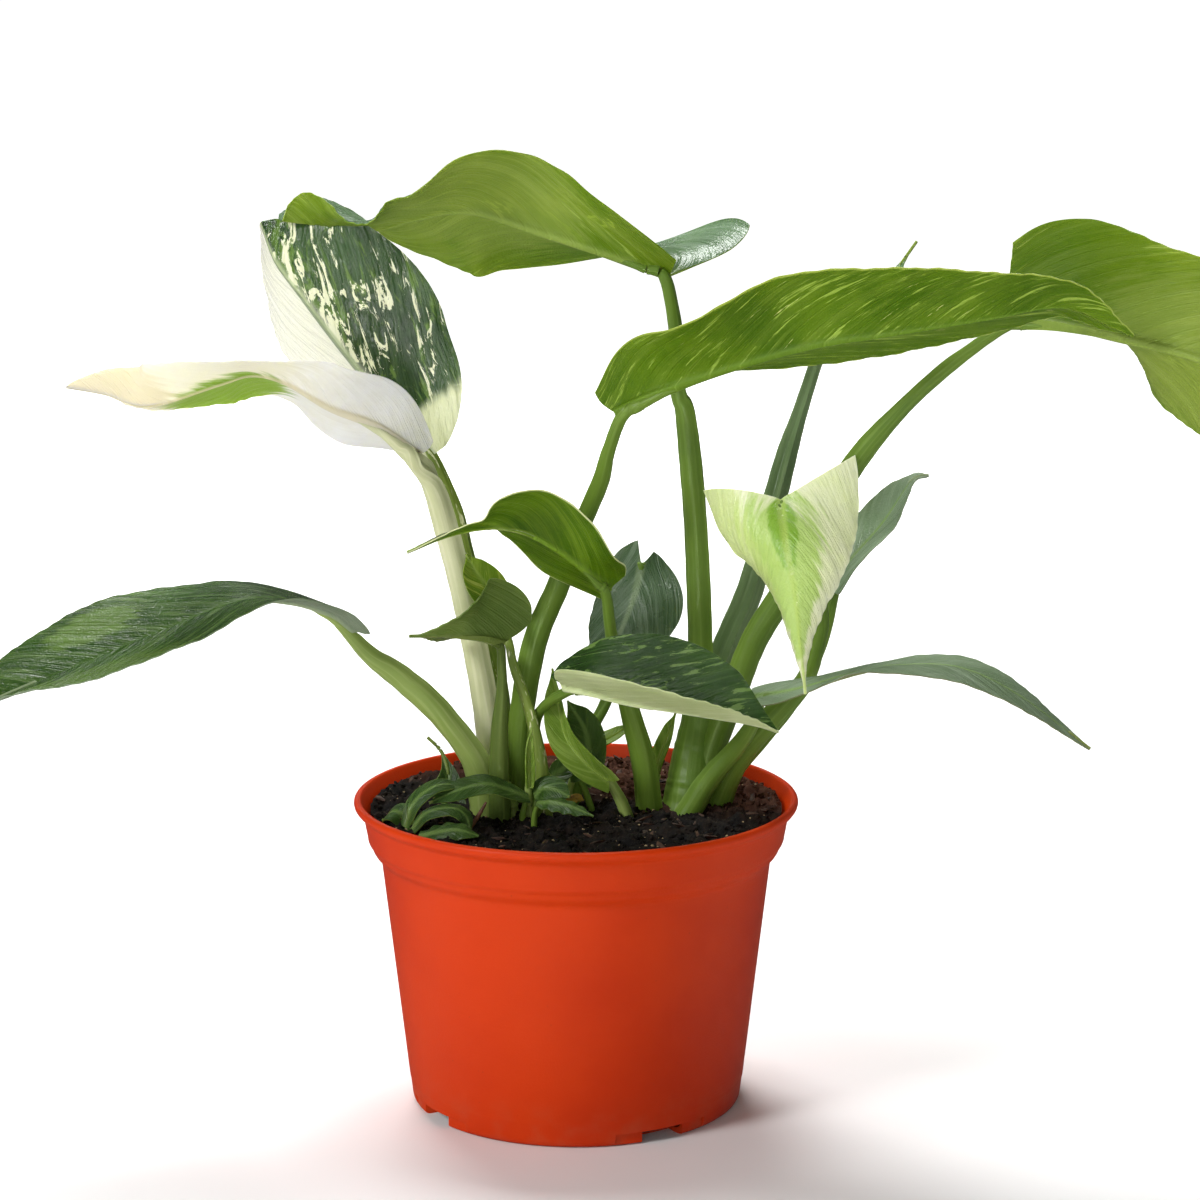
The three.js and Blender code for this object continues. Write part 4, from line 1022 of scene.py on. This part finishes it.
def scatter(name, dice, detail, seed, count, sizes, stretch):
    """Copies of one crumb, laid on the soil and joined into a piece."""
    model = crumb("one_of_" + name, detail, seed)
    copies = []
    for _ in range(count):
        copy = bpy.data.objects.new(name, model.data.copy())
        bpy.context.scene.collection.objects.link(copy)
        r, a = LITTER_REACH * math.sqrt(dice.random()), dice.uniform(0, 2 * math.pi)
        x, y = r * math.cos(a), r * math.sin(a)
        size = dice.uniform(*sizes)
        ground = float(soil_height(np.array(x), np.array(y))) + clods(x, y) * 0.6
        copy.scale = [size * way for way in stretch]
        tilts = (dice.uniform(-0.4, 0.4), dice.uniform(-0.4, 0.4), dice.uniform(0, 2 * math.pi))
        copy.rotation_euler = tilts
        copy.location = (x * MM, y * MM, (ground + LITTER_LIFT * size) * MM)
        copies.append(copy)
    only(*copies)
    bpy.ops.object.join()
    piece = bpy.context.object
    piece.name = piece.data.name = name
    bpy.ops.object.transform_apply(location=True, rotation=True, scale=True)
    bpy.data.objects.remove(model)
    smooth(piece, 30)
    return piece


# The scene: floor, light and the photograph's view

def stage_floor():
    floor = added("floor", bpy.ops.mesh.primitive_plane_add, size=40)
    floor.visible_glossy = False
    paper = Finish("pale_paper", "fbfbfa")
    paper.coat("f2f2f1", paper.noise(paper.place, 6))
    paper.gloss(0.1, 0.8, 0.05, 20)
    # White all round, and left to the lights under the pot, so that it has its shadow
    away = paper.add("ShaderNodeVectorMath", {0: paper.place}, operation="LENGTH")
    paper.give("Emission Color", (1, 1, 1, 1))
    paper.give("Emission Strength", paper.times(paper.rise(away.outputs["Value"], 0.4, 2), 0.95))
    floor.data.materials.append(paper.done())


def soft_light(name, place, aim, size, power, mirrored=True, lit=True, beam=180):
    """A round lamp. It can be kept out of reflections, or light nothing but reflections."""
    lamp = added(name, bpy.ops.object.light_add, type="AREA", location=place)
    lamp.data.shape = "DISK"
    lamp.data.size = size
    lamp.data.energy = power
    lamp.data.spread = math.radians(beam)
    lamp.visible_glossy = mirrored
    lamp.visible_diffuse = lit
    lamp.rotation_euler = (Vector(aim) - Vector(place)).to_track_quat("-Z", "Y").to_euler()


def light_the_scene():
    scene = bpy.context.scene
    scene.view_settings.view_transform = "Standard"
    world = bpy.data.worlds.new("white_room")
    scene.world = world
    world.use_nodes = True
    back = world.node_tree.nodes["Background"]
    back.inputs["Color"].default_value = (1, 1, 1, 1)
    back.inputs["Strength"].default_value = 0.1
    soft_light("key", (-1.4, -1.1, 1.2), (0, 0, 0.15), 0.6, 24)
    soft_light("glint", (-0.38, -1.45, 0.22), (-0.08, 0, 0.25), 0.45, 0.14, lit=False, beam=14)
    soft_light("top", (0, 0.6, 1.8), (0, 0, 0.2), 0.8, 26)
    soft_light("low_front", (-0.2, -1.7, 0.35), (0, 0, 0.22), 1.2, 8, mirrored=False)
    soft_light("rear", (-0.4, 1.4, 0.9), (0, 0, 0.25), 1, 22, mirrored=False)


def set_camera():
    """The view fitted to the pot's rim, collar and foot."""
    bpy.ops.object.select_all(action="DESELECT")
    bpy.ops.object.camera_add(location=(8.2 * MM, -1198 * MM, 419 * MM))
    camera = bpy.context.object
    camera.rotation_euler = (math.radians(78.51), 0, 0)
    camera.data.lens = 108
    camera.data.sensor_width = 36
    camera.data.sensor_fit = "HORIZONTAL"
    bpy.context.scene.camera = camera


set_camera()
light_the_scene()
stage_floor()

LEAF_LOOKS = {
    # The first patch, paler green by the left margin towards the tip, is painted sheen
    "streaked_dark": dict(
        tones="35561c 223f11 6f8c4c 45652c 4c6c2e", rough=0.2, shine=0.4, pucker=0.7, lumps=200,
        patches=[(-0.9, 0.75, 0.5, 0.3, "7d9a48", 1.8, 0.3), (0.6, 0.6, 0.3, 0.12, "6f8f3c", 1.6, 0.5)]),
    "blotched_dark": dict(
        tones="33541c 213e12 4f6f36 45652c 4f6f36", streaks=0.4, rough=0.25, shine=0.45, pucker=0.8,
        marbling=[("6d8c46", 0.43, 170, 0.03, 1, 8, 0)]),
    # The first patch, a duller cream over the outer half, is painted shade; the last is the tip's cream
    # tone, made darker still as painted shade
    "cream_back": dict(
        tones="f5f3ee ebe7dd faf8f3 e6e0d0 d6cdac", streaks=0.4, rough=0.45, shine=0.2, glow=0.9,
        patches=[(0, 0.8, 2.6, 0.42, "d8d2c2", 0.8, 0.6), (0.55, 0.57, 0.75, 0.2, "86a62e", 1.1, 0.95),
                 (0, 0.98, 1.4, 0.26, "cfc6b2", 0.8, 0.8)],
        flecks=[("b39a6c", 0.19, 500)]),
    "marbled_dark": dict(
        tones="2f4f20 1d3a14 56744a 56754a a9b88a", rough=0.2, shine=0.7, veins=0.05, pucker=1,
        lumps=180, glow=0.35,
        marbling=[("5f7f34", 0.46, 100, 0.08, 8, 26, 0.04), ("e4e6c8", 0.42, 150, 0.015, 2, 26, 0.05)],
        patches=[(-0.55, 0.5, 0.56, 1.2, "f3f2e2", 0.12, 1), (0.3, 0, 1.6, 0.15, "dfe4bf", 0.4, 1),
                 (-0.03, 0.5, 0.025, 0.6, "4f6c38", 0.3, 0.7)]),
    "marbled_back": dict(tones="eceed8 d2d9ac aebd7c c9d1a2 dcdfc0", rough=0.5, glow=0.6),
    "bluish_gloss": dict(
        tones="5f7f52 4c6c42 a3b9a0 708e60 94ac70", rough=0.28, shine=0.5, pucker=0.5),
    # Its first patch, a darker green low on the right half, is painted shade, and the paler second patch
    # is painted sheen
    "green_back": dict(
        tones="71891c 5c7a10 93a64c 7d963a 8ca14a", streaks=0.35, painted_sheen=0.6, rough=0.4, shine=0.2,
        glow=0.4, marbling=[("8ca238", 0.4, 70, 0.04, 1, 2, 0)],
        patches=[(0.4, 0.2, 0.8, 0.3, "527408", 1.2, 0.5), (-0.2, 0.5, 0.9, 0.25, "8d9c4a", 1.5, 0.4)],
        flecks=[("94a84c", 0.38, 160)]),
    "flecked_back": dict(
        tones="587610 446408 71892c 6d8826 68862a", streaks=0.4, painted_sheen=0.4, rough=0.42, shine=0.12,
        glow=0.4, rim="8fa044",
        flecks=[("8ea642", 0.43, 240), ("c9d080", 0.35, 300), ("dfe2a8", 0.29, 420)]),
    "green_gloss": dict(tones="4e701c 3d6016 76923c 68863a 93a94f", rough=0.3, shine=0.4),
    "lime_flush": dict(
        tones="e6eac6 dbe4b2 f0f2da ccd89c b4cc66", streaks=0.1, painted_sheen=0.05, rough=0.28, shine=0.45,
        veins=0.04, pucker=0.4, glow=0.45,
        patches=[(0.1, 0.42, 0.62, 0.42, "9cc23c", 1.3, 0.7), (0, 0.2, 0.18, 0.2, "7aa820", 1, 0.8),
                 (0.95, 0.2, 0.5, 0.6, "c3d584", 1.2, 0.7)],
        flecks=[("56641c", 0.2, 260)]),
    "grey_back": dict(tones="7c8972 6c7c62 929e86 8c9878 9fae88", streaks=0.3, rough=0.5),
    "grey_face": dict(tones="7b8e72 6a805e 9aaa90 7c8e6c 7f9c50", streaks=0.4),
    "brown_back": dict(tones="6f7353 64694c 868a68 7c8160 87964f", rough=0.5),
    "pale_back": dict(tones="c3cf98 adbb80 d2dbae c3cda4 ccd6a6", rough=0.5, shine=0.15, glow=0.5),
    "striped_dark": dict(
        tones="3f5c24 30501c d0d6b8 5d7a3c 8ea765", streaks=0.8, cover=(0.54, 0.6), rough=0.3,
        shine=0.4),
    "bright_back": dict(
        tones="54750a 3c5c06 7d9a2c 6f8f22 7c9c2c", streaks=0.35, painted_sheen=0.5, rim="c9cf9a",
        rough=0.36, shine=0.35, glow=0.5, flecks=[("2c4410", 0.22, 300)]),
    "olive_back": dict(
        tones="72863e 607734 869857 6d813e 7c8c43", streaks=0.3, rough=0.42, shine=0.3),
    "bluish_face": dict(
        tones="4a5f44 36502f 7b8c78 5d7456 7a8c68", rough=0.28, shine=0.5, pucker=0.7),
    "young_green": dict(tones="748f34 5f7d24 9db35c 84a040 93ab50", painted_sheen=0.5, rough=0.4, glow=0.4),
    "yellow_mottled": dict(
        tones="7a9826 668422 b0be50 7f9a3c 93a94f", rough=0.4, glow=0.4,
        flecks=[("b5c05c", 0.42, 240)]),
    "deep_face": dict(tones="3b581f 2a4617 5a7638 507038 6f8a48", rough=0.3, shine=0.4, pucker=0.6),
}
STALK_LOOKS = {
    "green_stalk": dict(tones="68832e 58742a 7f9a46"),
    "light_stalk": dict(tones="93a65a 83984c a9b873"),
    "cream_stalk": dict(tones="d5d6ae bfc394 e6e4c6", glow=0.3),
    "striped_stalk": dict(tones="7b8f3c 6a8034 93a550", flecks=[("d9dcae", 0.42, 520)]),
    "bluish_stalk": dict(tones="6b8057 5a7048 84976c", rough=0.3),
    "olive_stalk": dict(tones="5a6c2c 4c5f28 73853e"),
    "stem_pale": dict(tones="93a55c 7d9048 a8b674", lines=0.4),
    "stem_green": dict(tones="66822f 4f6c22 7f9748", lines=0.4),
}
finishes = {name: leaf_face(name, **look) for name, look in LEAF_LOOKS.items()}
finishes.update({name: stalk_finish(name, **look) for name, look in STALK_LOOKS.items()})
potting_soil = soil_finish()

# The plant, leaf by leaf
for name, form in LEAVES.items():
    leaf = {**PLAIN_LEAF, **form}
    *faces, stalk = [finishes[key] for key in leaf["finishes"].split()]
    finish(make_blade(f"{name}_leaf", leaf, faces, *LARGE_BLADE), None, f"blade_{name}")
    stem = make_stalk(f"{name}_stalk", stalk_points(leaf), groove_of(leaf), *LARGE_STALK,
                      reach=leaf["sheath"])
    finish(stem, stalk, f"stalk_{name}")

for name, form in SMALL_LEAVES.items():
    leaf = {**PLAIN_LEAF, **form}
    *faces, stalk = [finishes[key] for key in leaf["finishes"].split()]
    blade = make_blade(f"{name}_blade", leaf, faces, *SMALL_BLADE)
    stem = make_stalk(f"{name}_stem", stalk_points(leaf), groove_of(leaf), *SMALL_STALK, groove=0.3)
    finish(blade, None, f"leaf_{name}")
    finish(stem, stalk, f"leaf_{name}", replaces=False)

for name, points in STEMS.items():
    stem = make_stalk(f"{name}_swollen", points, TO_THE_FRONT, 40, 90, groove=0, rings=0.04)
    finish(stem, finishes[STEM_FINISHES[name]], name)

finish(make_soil(), potting_soil, "soil")
finish(make_pot(), pot_finish(), "pot")

# Crumbs, bark and grains on the soil, and a twig and a dry leaf bit among the stalks
litter = {
    "crumbs": potting_soil,
    "bark": bit_finish("bark_brown", "4a3020", "2c1c14"),
    "pale_grains": bit_finish("grain_pale", "b8a27c", "8f7a58"),
}
dice = random.Random(7)
for name, material in litter.items():
    finish(scatter(name, dice, **LITTER[name]), material, "soil", replaces=False)

twig = make_stalk("twig", TWIG, TO_THE_FRONT, 12, 30, groove=0, rings=0.1)
finish(twig, bit_finish("twig_brown", "80583c", "4e3422"), "soil", replaces=False)
dry_yellow = bit_finish("dry_yellow", "c2a244", "8a6c30")
dry_bit = make_blade("dry_bit", {**PLAIN_LEAF, **DRY_BIT}, [dry_yellow, dry_yellow], 30, 16)
finish(dry_bit, None, "soil", replaces=False)
